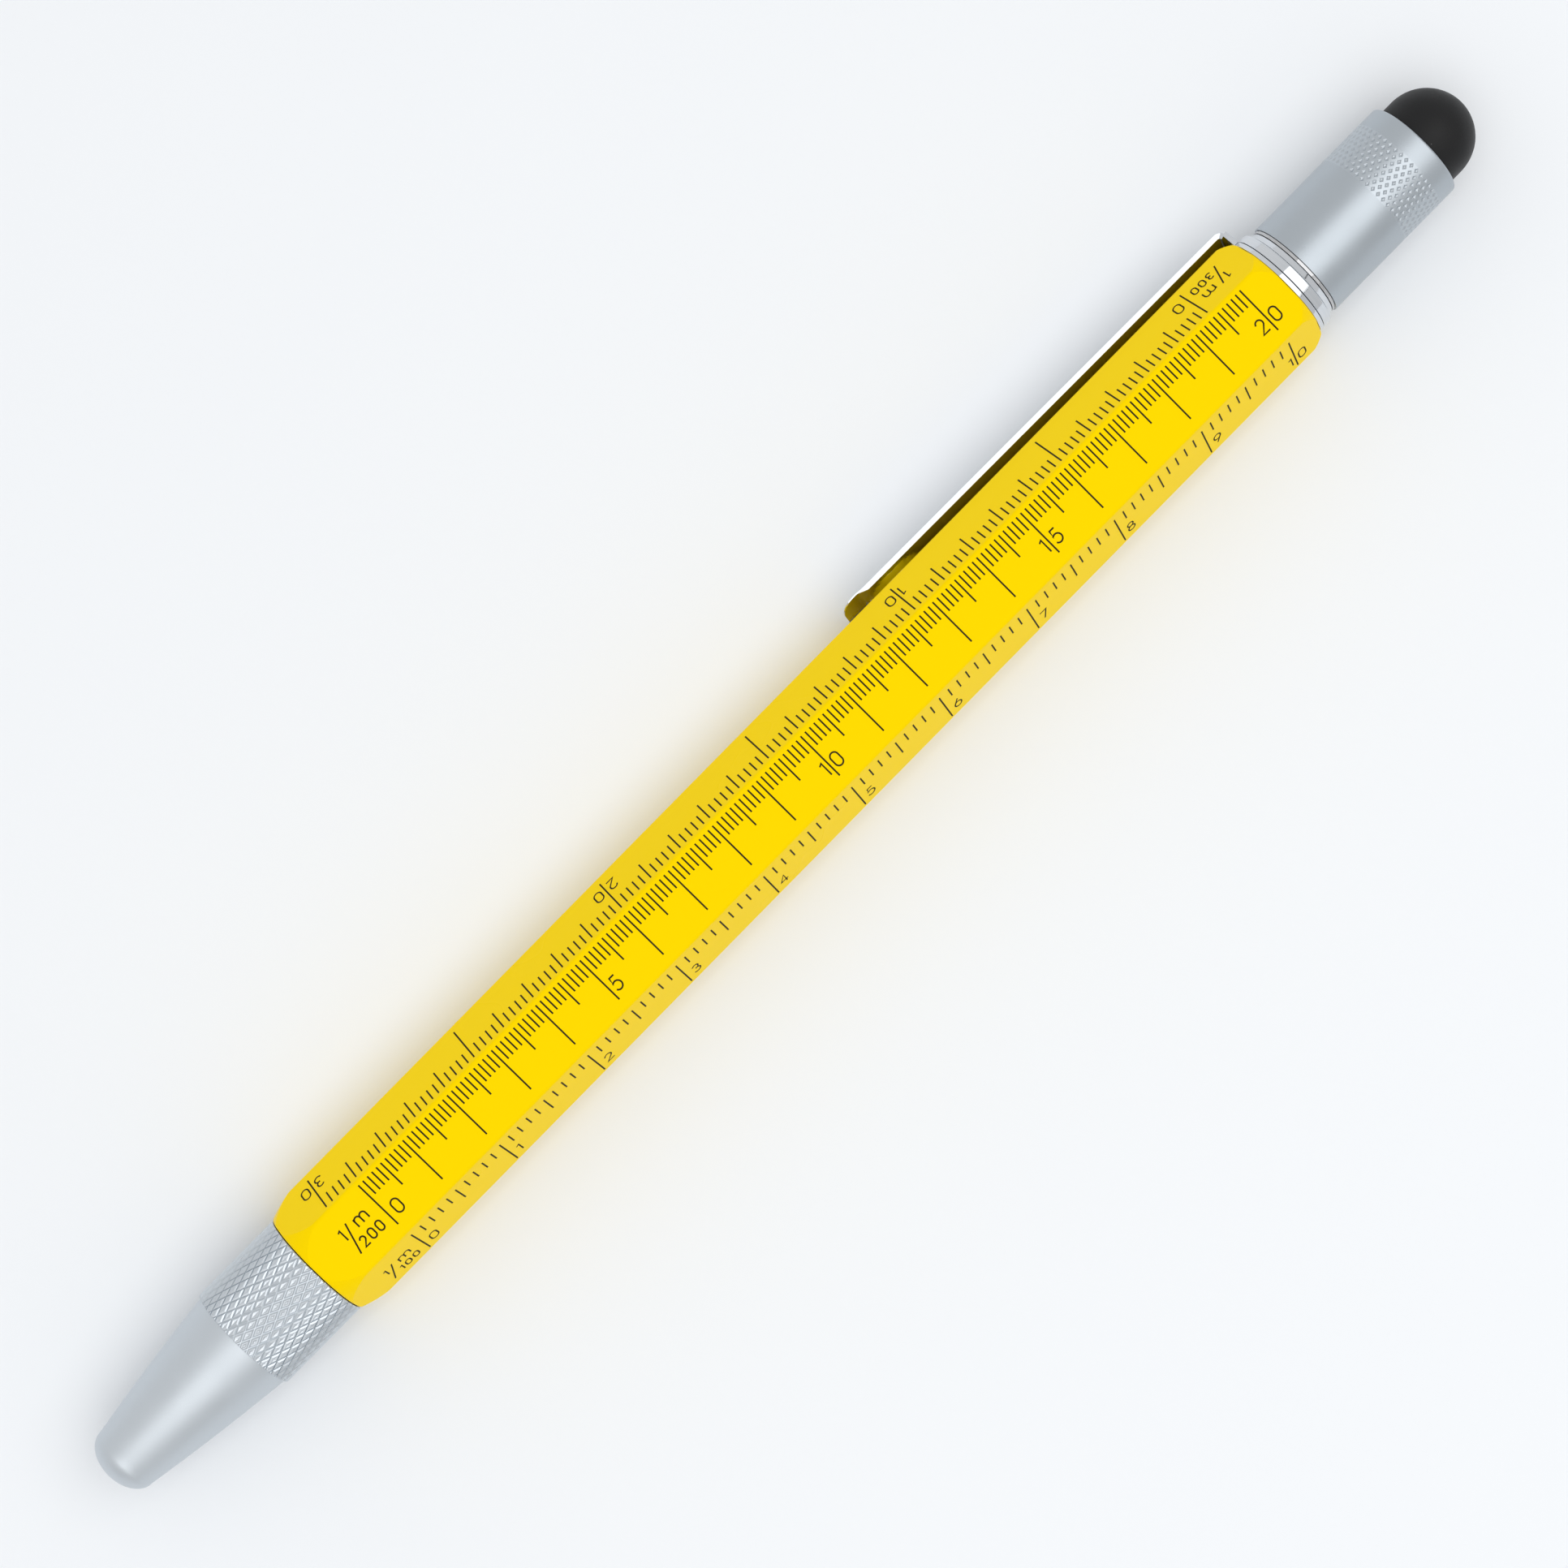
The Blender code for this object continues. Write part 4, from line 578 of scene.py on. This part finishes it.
# %% The rules underneath
UNIT_HEIGHT, CENTIMETRE_LEFT, INCH_LEFT = 1.1, -2.9, -1.7
ZERO_INCH = ZERO - 2
ruler_cm = face_matrix(FACE_CENTIMETRE, ZERO)
shape = make_scale(ruler_cm, step=1, half=5, long=10, number=10, total=100, worth=1, gap=WIDE_GAP)
write(shape, ruler_cm, "cm", CENTIMETRE_LEFT, FIGURE_BASE, UNIT_HEIGHT)
add_piece("ruler_centimetre", shape, ink, "barrel")
ruler_inch = face_matrix(FACE_INCH, ZERO_INCH)
shape = make_scale(ruler_inch, step=INCH / 16, half=8, long=16, number=16, total=64, worth=1, gap=WIDE_GAP)
write(shape, ruler_inch, "in", INCH_LEFT, FIGURE_BASE, UNIT_HEIGHT)
add_piece("ruler_inch", shape, ink, "barrel")

# %% [markdown]
# ## Knurls
# A knurl is a pattern of diamonds rolled into metal for grip. A displacement map would need millions of
# faces to keep the grooves crisp, but a knurl is a lattice: every diamond has four corners on the
# crossing grooves and smaller diamonds inside it at other depths. Building the lattice from diamonds
# gives exact edges with few faces. The ends are then cut off square, because the rolled band stops in the
# middle of diamonds.

# %% Building a knurl
DIAMOND = ((1, 0), (0, 1), (-1, 0), (0, -1))
SAME_CORNER, SKIRT = 0.002, 0.3


def lattice(radius, first, turn, rows, count, half_length, rings, bare=0):
    """Diamonds around a cylinder, with only their outline in the bare rows at either end.

    A ring of a diamond is its share along, its share around and its depth below the radius.
    """
    shape = bmesh.new()
    pitch = 360 / count
    for row in range(rows):
        for column in range(count):
            middle_turn = turn + (column + row % 2 / 2) * pitch
            middle_spot = first + row * half_length
            loops = []
            for share_along, share_around, depth in rings if bare <= row < rows - bare else rings[:1]:
                loop = []
                for along, around in DIAMOND:
                    spot = math.radians(middle_turn + around * share_around * pitch / 2)
                    out = radius - depth
                    loop.append(shape.verts.new((middle_spot + along * share_along * half_length,
                                                 out * math.sin(spot), out * math.cos(spot))))
                loops.append(loop)
            for outer, inner in zip(loops, loops[1:]):
                bridge(shape, outer, inner)
            shape.faces.new(loops[-1])
    bmesh.ops.remove_doubles(shape, verts=shape.verts, dist=SAME_CORNER)
    return shape


def slice_at(shape, station, way=0):
    """Cuts a shape square across the axis, and drops what lies past the cut in the direction of way."""
    everything = shape.verts[:] + shape.edges[:] + shape.faces[:]
    bmesh.ops.bisect_plane(shape, geom=everything, plane_co=(station, 0, 0), plane_no=(way or 1, 0, 0),
                           clear_outer=bool(way))


def knurl(shape, radius, front, back, chamfer=0.0):
    """Trims a lattice to a band with chamfered ends, and gives each end a skirt toward the axis."""
    slice_at(shape, front, -1)
    slice_at(shape, back, 1)
    if chamfer:
        slice_at(shape, front + chamfer)
        slice_at(shape, back - chamfer)
        for vertex in shape.verts:
            inside = min(vertex.co.x - front, back - vertex.co.x)
            away = Vector((0, vertex.co.y, vertex.co.z))
            if away.length > radius - chamfer + inside:
                away.length = radius - chamfer + inside
                vertex.co = Vector((vertex.co.x, away.y, away.z))
    rims = [edge for edge in shape.edges if edge.is_boundary]
    grown = bmesh.ops.extrude_edge_only(shape, edges=rims)["geom"]
    for vertex in grown:
        if isinstance(vertex, bmesh.types.BMVert):
            away = Vector((0, vertex.co.y, vertex.co.z)).normalized() * (radius - SKIRT)
            vertex.co = Vector((vertex.co.x, away.y, away.z))
    return shape

# %% [markdown]
# ## The front cap
# The cap screws over the nib and has two parts to the eye: a satin cone with a blunt, domed nose, and a
# knurled band where the fingers turn it. The cone swells very slightly, which is why its highlight bends.
# It is swept in one outline with its inside, and the knurl is a sleeve around the band.

# %% The front cap's shell
KNURL_RADIUS, KNURL_FRONT, KNURL_BACK = 4.97, -8.45, -0.1
CONE_BASE, CONE_NOSE, CONE_END = 4.75, 2.93, -21.85
CROWN, DOME, CONE_STEPS, DOME_STEPS = 0.1, 1.93, 24, 20
UNDER_KNURL, KNURL_RELIEF, CONE_WALL, NOSE_WALL = 0.2, 0.02, 0.75, 0.2
CAP_SEAT, CAP_SEAT_END, CAP_HOLLOW = 4.17, -6.1, 4.0


def cone_radius(station):
    """The cone's radius at a station, with its slight swell."""
    share = (KNURL_FRONT - station) / (KNURL_FRONT - CONE_END)
    return CONE_BASE + (CONE_NOSE - CONE_BASE) * share + CROWN * math.sin(math.pi * min(max(share, 0), 1))


cone_stations = [KNURL_FRONT + (CONE_END - KNURL_FRONT) * step / CONE_STEPS
                 for step in range(CONE_STEPS + 1)]
under_knurl = KNURL_RADIUS - UNDER_KNURL
outline = [(KNURL_BACK, CAP_SEAT), (KNURL_BACK, under_knurl), (KNURL_FRONT + KNURL_RELIEF, under_knurl)]
outline += [(station, cone_radius(station)) for station in cone_stations]
outline += curve((CONE_END, 0), (DOME, CONE_NOSE), 90, 180, DOME_STEPS)[1:]
outline += [(CONE_END - NOSE_WALL, 0)]
outline += [(station, cone_radius(station) - CONE_WALL) for station in reversed(cone_stations)]
outline += [(CAP_SEAT_END, CAP_HOLLOW), (CAP_SEAT_END, CAP_SEAT), (KNURL_BACK, CAP_SEAT)]
cap_body = add_piece("cap_body", swept(outline), front_satin, "front_cap", "cap_shell", sharp=24)

# %% [markdown]
# The front cap's knurl is the coarse one. Crossing grooves are rolled into it and leave raised diamonds,
# each a little hollow on top. It could be carved out of the shell with hundreds of small wedges, which is
# slow and often leaves holes. As a sleeve of diamonds over a slightly smaller shell it needs no carving.

# %% The front cap's knurl
GROOVE, HALF_DIAMOND, DIAMOND_ROWS, DIAMONDS_AROUND = 0.13, 0.792, 13, 41
MIDDLE_ROW, DIAMOND_TURN, KNURL_CHAMFER = -4.16, 4.7, 0.08
rolled = [(share, share, depth) for share, depth in
          ((1.0, GROOVE), (0.94, GROOVE), (0.90, 0.08), (0.55, 0.0), (0.48, 0.0), (0.1, 0.05))]
first = MIDDLE_ROW - DIAMOND_ROWS // 2 * HALF_DIAMOND
shape = lattice(KNURL_RADIUS, first, DIAMOND_TURN, DIAMOND_ROWS, DIAMONDS_AROUND, HALF_DIAMOND, rolled)
shape = knurl(shape, KNURL_RADIUS, KNURL_FRONT, KNURL_BACK, KNURL_CHAMFER)
cap_knurl = add_piece("cap_knurl", shape, rolled_satin, "front_cap", sharp=8)

# %% [markdown]
# ## The stylus cap
# The cap at the other end is a short satin sleeve with a knurl of its own: here the tool has pressed
# small square pits and left the metal between them. The same lattice makes it, with the pits as the inner
# rings. The sleeve is swept in two runs, in front of and behind the pits, and the knurl fills the band
# between.

# %% The stylus cap's sleeve
CAP_RADIUS, CAP_BORE, CAP_FRONT, CAP_BACK = 4.57, 4.05, 112.59, 126.4
PITS_FRONT, PITS_BACK = 120.45, 124.55
FRONT_EASE, BACK_EASE, BACK_EASE_STEPS = 0.05, 0.28, 6
floor = CAP_RADIUS - SKIRT
front_run = [(PITS_FRONT, CAP_RADIUS), (CAP_FRONT, CAP_RADIUS), (CAP_FRONT, CAP_BORE)]
back_run = [(CAP_FRONT, CAP_BORE), (CAP_BACK, CAP_BORE), (CAP_BACK, CAP_RADIUS), (PITS_BACK, CAP_RADIUS)]
sleeve = eased(front_run, FRONT_EASE) + eased(back_run, BACK_EASE, BACK_EASE_STEPS)[1:]
shape = swept([(PITS_FRONT, floor)] + sleeve + [(PITS_BACK, floor)])
stylus_body = add_piece("stylus_sleeve_body", shape, stylus_satin_shaded, "stylus_sleeve", "stylus_cap", sharp=24)

# %% [markdown]
# The stylus cap's knurl is finer, and its pits don't reach each other. They are laid out in rows with a
# bare row at either end, so that the band starts and stops with plain metal, as the sleeve around it is.

# %% The stylus cap's knurl
PIT_STEP, PIT_ROWS, BARE_ROWS, PITS_AROUND, PIT_TURN = 0.506, 8, 1, 48, 3.75
pressed = [(1.0, 1.0, 0.0), (0.50, 0.68, 0.0), (0.30, 0.42, 0.05), (0.08, 0.12, 0.08)]
rows = PIT_ROWS + 2 * BARE_ROWS
first = (PITS_FRONT + PITS_BACK - (rows - 1) * PIT_STEP) / 2
shape = lattice(CAP_RADIUS, first, PIT_TURN, rows, PITS_AROUND, PIT_STEP, pressed, BARE_ROWS)
shape = knurl(shape, CAP_RADIUS, PITS_FRONT, PITS_BACK)
stylus_knurl = add_piece("stylus_knurl", shape, pressed_satin_shaded, "stylus_sleeve", sharp=12)

# %% [markdown]
# The tip is a hollow rubber dome with a short straight skirt that disappears into the cap. A hemisphere
# swept from an arc is its true shape.

# %% The rubber tip
TIP_RADIUS, TIP_HOLLOW, TIP_NECK, DOME_START, TIP_FRONT = 3.98, 3.23, 2.65, 127.75, 125.4
outline = curve((DOME_START, 0), (TIP_RADIUS, TIP_RADIUS), 0, 90, steps=24)
outline += [(TIP_FRONT, TIP_RADIUS), (TIP_FRONT, TIP_NECK), (CAP_BACK, TIP_NECK), (CAP_BACK, TIP_HOLLOW)]
outline += curve((DOME_START, 0), (TIP_HOLLOW, TIP_HOLLOW), 90, 0, steps=16)
rubber_dome = add_piece("rubber_dome", swept(outline), rubber, "stylus", "stylus_tip")

# %% [markdown]
# ## Collar and clip ring
# Between the barrel and the stylus cap the pen is clamped together: the flat ring of the clip, a chrome
# collar with a rim and a narrower neck, and the thin flange of the tool holder. The eye reads them by the
# fine dark lines between them, so each keeps its own eased edges. The ring also carries the flat tab that
# the clip's arm grows from.

# %% The collar and the ring
HOLE, COLLAR_RADIUS, RING_RADIUS = 3.57, 4.9, 4.95
COLLAR_FRONT, COLLAR_BACK, RING_FRONT, RING_BACK = 110.83, 112.27, 110.34, 110.77
RIM_END, NECK_FRONT, NECK_BACK = 111.62, (111.7, 4.64), (COLLAR_BACK, 4.4)
COLLAR_EASE, RING_EASE = 0.07, 0.08
TAB_WIDTH, TAB_HEIGHT, TAB_MIDDLE = 5.75, 1.43, 4.785
outline = [(COLLAR_BACK, HOLE), NECK_BACK, NECK_FRONT, (RIM_END, COLLAR_RADIUS)]
outline += [(COLLAR_FRONT, COLLAR_RADIUS), (COLLAR_FRONT, HOLE)]
shape = swept(eased(outline, COLLAR_EASE) + [outline[0]])
collar_body = add_piece("collar_body", shape, chrome, "barrel", "collar")
outline = [(RING_BACK, HOLE), (RING_BACK, RING_RADIUS), (RING_FRONT, RING_RADIUS), (RING_FRONT, HOLE)]
shape = swept(eased(outline, RING_EASE) + [outline[0]])
tab = bmesh.ops.create_cube(shape, size=1)["verts"]
to_clip_face = Matrix.Rotation(math.radians(-FACE_CLIP), 3, "X")
bmesh.ops.scale(shape, vec=(RING_BACK - RING_FRONT, TAB_WIDTH, TAB_HEIGHT), verts=tab)
bmesh.ops.translate(shape, vec=((RING_FRONT + RING_BACK) / 2, 0, TAB_MIDDLE), verts=tab)
bmesh.ops.rotate(shape, cent=(0, 0, 0), matrix=to_clip_face, verts=tab)
clip_ring_body = add_piece("clip_ring_body", shape, chrome, "barrel", "clip_ring")

# %% [markdown]
# ## The clip
# The clip is one strip of spring steel, bent square at the ring, with a rounded tip and a pressed bump
# that holds the pocket's cloth. It is lofted: a rounded rectangle travels along the strip, gets thinner
# and narrower at the tip, and bulges inward at the bump. Chrome shows every facet, so the sections are
# close.

# %% Lofting the clip's arm
CLIP_FRONT, CLIP_BACK, CLIP_ROOT, CLIP_RISE = 67.0, 110.6, 6.13, 0.3
CLIP_SHEET, CLIP_WIDTH, BEND, EDGE_SLOPE = 0.46, 5.6, 0.7, 0.34
TIP_ROUND, TIP_THIN, TIP_TAPER, TIP_SHEET = 1.5, 1.9, 0.9, 0.12
BUMP_MIDDLE, BUMP_LENGTH, BUMP_WIDTH, BUMP_DEPTH = 72.25, 5.8, 4.0, 0.98
BUMP_BOW, BUMP_RIM, OUTSIDE_SHARE = 0.9, math.sqrt(0.1), 0.25
EDGE_EASE, EASE_SHARE, EASE_STEPS, STRIPS = 0.1, 0.3, 4, 18
TIP_STEPS, BUMP_STEPS, BUMP_STEP, ARM_STEPS, BEND_STEPS = 12, 64, 0.11, 8, 8
ARM_END = CLIP_BACK - BEND


def clip_half_width(station):
    """Half the arm's width, which rounds off at the tip's corners."""
    into = min(max(station - CLIP_FRONT, 0), TIP_ROUND)
    return CLIP_WIDTH / 2 - TIP_ROUND + math.sqrt(TIP_ROUND ** 2 - (TIP_ROUND - into) ** 2)


def bump_depth(station, across):
    """How far the pressed bump bulges toward the barrel, with a crisp rim."""
    far = ((station - BUMP_MIDDLE) * 2 / BUMP_LENGTH) ** 2 + (across * 2 / BUMP_WIDTH) ** 2
    return BUMP_DEPTH * (math.sqrt(1 - BUMP_BOW * far) - BUMP_RIM) / (1 - BUMP_RIM) if far < 1 else 0


def clip_section(station, place, outward):
    """Points round the strip's section, whose outside is wider because a stamped strip's edges slope."""
    half = clip_half_width(station)
    taper = min(max((station - CLIP_FRONT - TIP_THIN) / TIP_TAPER, 0), 1)
    sheet = TIP_SHEET + (CLIP_SHEET - TIP_SHEET) * taper
    ease = min(EDGE_EASE, sheet * EASE_SHARE)
    edge = [(half - ease + ease * math.sin(t), ease * math.cos(t) - ease)
            for t in (math.pi / 2 * step / EASE_STEPS for step in range(EASE_STEPS + 1))]
    edge += [(half - EDGE_SLOPE * sheet, ease - sheet), (half - EDGE_SLOPE * sheet - ease, -sheet)]
    across = [(half - EDGE_SLOPE * sheet - ease) * (step / STRIPS * 2 - 1) for step in range(1, STRIPS)]
    around = [(v, 0) for v in across] + edge + [(v, -sheet) for v in reversed(across)]
    around += [(-v, n) for v, n in reversed(edge)]
    points = []
    for v, n in around:
        sink = bump_depth(station, v)
        level = n - (sink if n < -sheet / 2 else sink * OUTSIDE_SHARE)
        points.append(place + outward * level + Vector((0, v, 0)))
    return points


straight = [CLIP_FRONT + TIP_ROUND * (1 - math.cos(math.pi / 2 * step / TIP_STEPS))
            for step in range(TIP_STEPS + 1)]
straight += [CLIP_FRONT + TIP_ROUND + BUMP_STEP * step for step in range(1, BUMP_STEPS + 1)]
past_bump = straight[-1]
straight += [past_bump + (ARM_END - past_bump) * step / ARM_STEPS for step in range(1, ARM_STEPS + 1)]
sections = []
for station in straight:
    rise = CLIP_RISE * (ARM_END - station) / (ARM_END - CLIP_FRONT)
    sections.append((station, Vector((station, 0, CLIP_ROOT + rise)), Vector((0, 0, 1))))
bend_centre = Vector((ARM_END, 0, CLIP_ROOT - BEND))
for step in range(1, BEND_STEPS + 1):
    turn = math.pi / 2 * step / BEND_STEPS
    outward = Vector((math.sin(turn), 0, math.cos(turn)))
    sections.append((CLIP_BACK, bend_centre + outward * BEND, outward))
shape = bmesh.new()
to_clip_face = Matrix.Rotation(math.radians(-FACE_CLIP), 4, "X")
loops = [[shape.verts.new(to_clip_face @ point) for point in clip_section(*section)]
         for section in sections]
for first, second in zip(loops, loops[1:]):
    bridge(shape, first, second)
shape.faces.new(loops[0])
shape.faces.new(loops[-1])
clip_body = add_piece("clip_body", shape, chrome, "clip", "clip_arm", sharp=25)

# %% [markdown]
# ## Finishes for the pieces inside
# The solids that the caps and the barrel hide keep their CAD shapes, and take the finish that the record
# names for them, so that a view with the pen taken apart is as finished as the picture.

# %% Dressing the CAD solids
finishes = {"yellow_lacquer": yellow_lacquer, "satin_silver": front_satin, "chrome": chrome,
            "steel": brushed_steel, "brass": brass, "rubber": rubber, "black_plastic": black_plastic,
            "liner_plastic": liner_plastic, "clear_plastic": clear_plastic}
for subpart in frame["record"]["subparts"]:
    solid = frame["nodes"][subpart["node"]]
    solid.data.materials.clear()
    solid.data.materials.append(finishes[subpart["material_slot"]])
print("Dressed", len(frame["nodes"]), "CAD solids")

# %% [markdown]
# ## Floor, light and camera
# The pen was photographed from above on a white table in a soft, bright room. The table could be a slab,
# but only its top ever shows, so it is one large pale sheet with a faint grain.

# %% The table
TABLE_REACH, TABLE_CELLS = 1.5, 8
shape = bmesh.new()
bmesh.ops.create_grid(shape, x_segments=TABLE_CELLS, y_segments=TABLE_CELLS, size=TABLE_REACH)
mesh = bpy.data.meshes.new("table")
shape.to_mesh(mesh)
shape.free()
table = bpy.data.objects.new("table", mesh)
bpy.context.scene.collection.objects.link(table)
table_white = finish("table_white", grain, {"Grains per mm": 3.0, "Clouds per mm": 0.02},
                     tones=((0.86, 0.88, 0.905), (0.88, 0.90, 0.92)), roughness=(0.6, 0.7),
                     strength=0.05, depth=0.01)
mesh.materials.append(table_white)
print("Table", table.dimensions.x, "m wide")

# %% [markdown]
# The room lights everything, a little more from the clip's side. A broad softbox overhead, a little to
# the side of the 1/100 scale, draws the highlights on the metal and leaves the faint shadow on the clip's
# side. A dark band in the room is the rim of that softbox, which polished metal needs to look like metal.
# A picture of a studio would do as well, but a room made of nodes is tuned with a few numbers.

# %% Soft studio light
ROOM_LIGHT, CLIP_SIDE_LIGHT, RIM_LIGHT = 0.742, 0.07, 0.1
RIM_SLANT, RIM_HALF_WIDTH = math.radians(41), math.radians(2)
SOFTBOX_SIZE, SOFTBOX_WATTS, SOFTBOX_PLACE = (1.3, 0.85), 3.45, (0.1, -0.25, 0.75)
world = bpy.data.worlds.new("white_room")
bpy.context.scene.world = world
world.use_nodes = True
room = world.node_tree
seen = add_node(room, "ShaderNodeTexCoord").outputs["Generated"]
way = add_node(room, "ShaderNodeSeparateXYZ", {0: seen})
side = add_node(room, "ShaderNodeMath", {0: way.outputs["Y"], 1: -1.0}, operation="MULTIPLY")
slant = add_node(room, "ShaderNodeMath", {0: side.outputs[0], 1: way.outputs["Z"]}, operation="ARCTAN2")
rim = add_node(room, "ShaderNodeMath", {0: slant.outputs[0], 1: RIM_SLANT, 2: RIM_HALF_WIDTH},
               operation="COMPARE")
lighter = add_node(room, "ShaderNodeMath", {0: way.outputs["Y"], 1: CLIP_SIDE_LIGHT, 2: ROOM_LIGHT},
                   operation="MULTIPLY_ADD")
shade = add_node(room, "ShaderNodeMapRange", {"Value": rim.outputs[0], "To Min": lighter.outputs[0],
                                              "To Max": RIM_LIGHT})
background = room.nodes["Background"]
background.inputs["Color"].default_value = (0.985, 0.992, 1.0, 1)
room.links.new(shade.outputs[0], background.inputs["Strength"])

softbox_light = bpy.data.lights.new("softbox", "AREA")
softbox_light.shape = "RECTANGLE"
softbox_light.size, softbox_light.size_y = SOFTBOX_SIZE
softbox_light.energy = SOFTBOX_WATTS
softbox = bpy.data.objects.new("softbox", softbox_light)
softbox.location = SOFTBOX_PLACE
bpy.context.scene.collection.objects.link(softbox)
print("Softbox", SOFTBOX_WATTS, "W, room", ROOM_LIGHT)

# %% [markdown]
# The camera was found from the photograph itself: the printed scales give hundreds of points whose true
# places on the pen are known, and one camera puts them all on their pixels. It looks straight down with a
# long lens, turned so that the pen runs from corner to corner.

# %% Camera
PICTURE_WIDTH, FOCAL_LENGTH, SENSOR_WIDTH = 1932, 5440.4, 36  # in pixels, in pixels and in millimetres
CAMERA_PLACE = Vector((-9.181, -0.332, 361.548))
camera = bpy.data.cameras.new("camera")
camera.sensor_width = SENSOR_WIDTH
camera.lens = FOCAL_LENGTH / PICTURE_WIDTH * SENSOR_WIDTH
camera.clip_start = 0.01
view = bpy.data.objects.new("camera", camera)
bpy.context.scene.collection.objects.link(view)
bpy.context.scene.camera = view
# The first three would show the pen level, and the next two turn the picture by 45 degrees
right, up = Vector((0.99965, -0.00781, 0.02523)), Vector((0.00781, 0.99997, 0.0002))
forward = Vector((0.02523, 0, -0.99968))
image_right, image_up = (right - up).normalized(), (right + up).normalized()
pose = Matrix((image_right, image_up, -forward)).transposed().to_4x4()
pose.translation = CAMERA_PLACE * MM
view.matrix_world = pose
bpy.context.scene.view_settings.view_transform = "Standard"
print("Lens", round(camera.lens, 1), "mm")
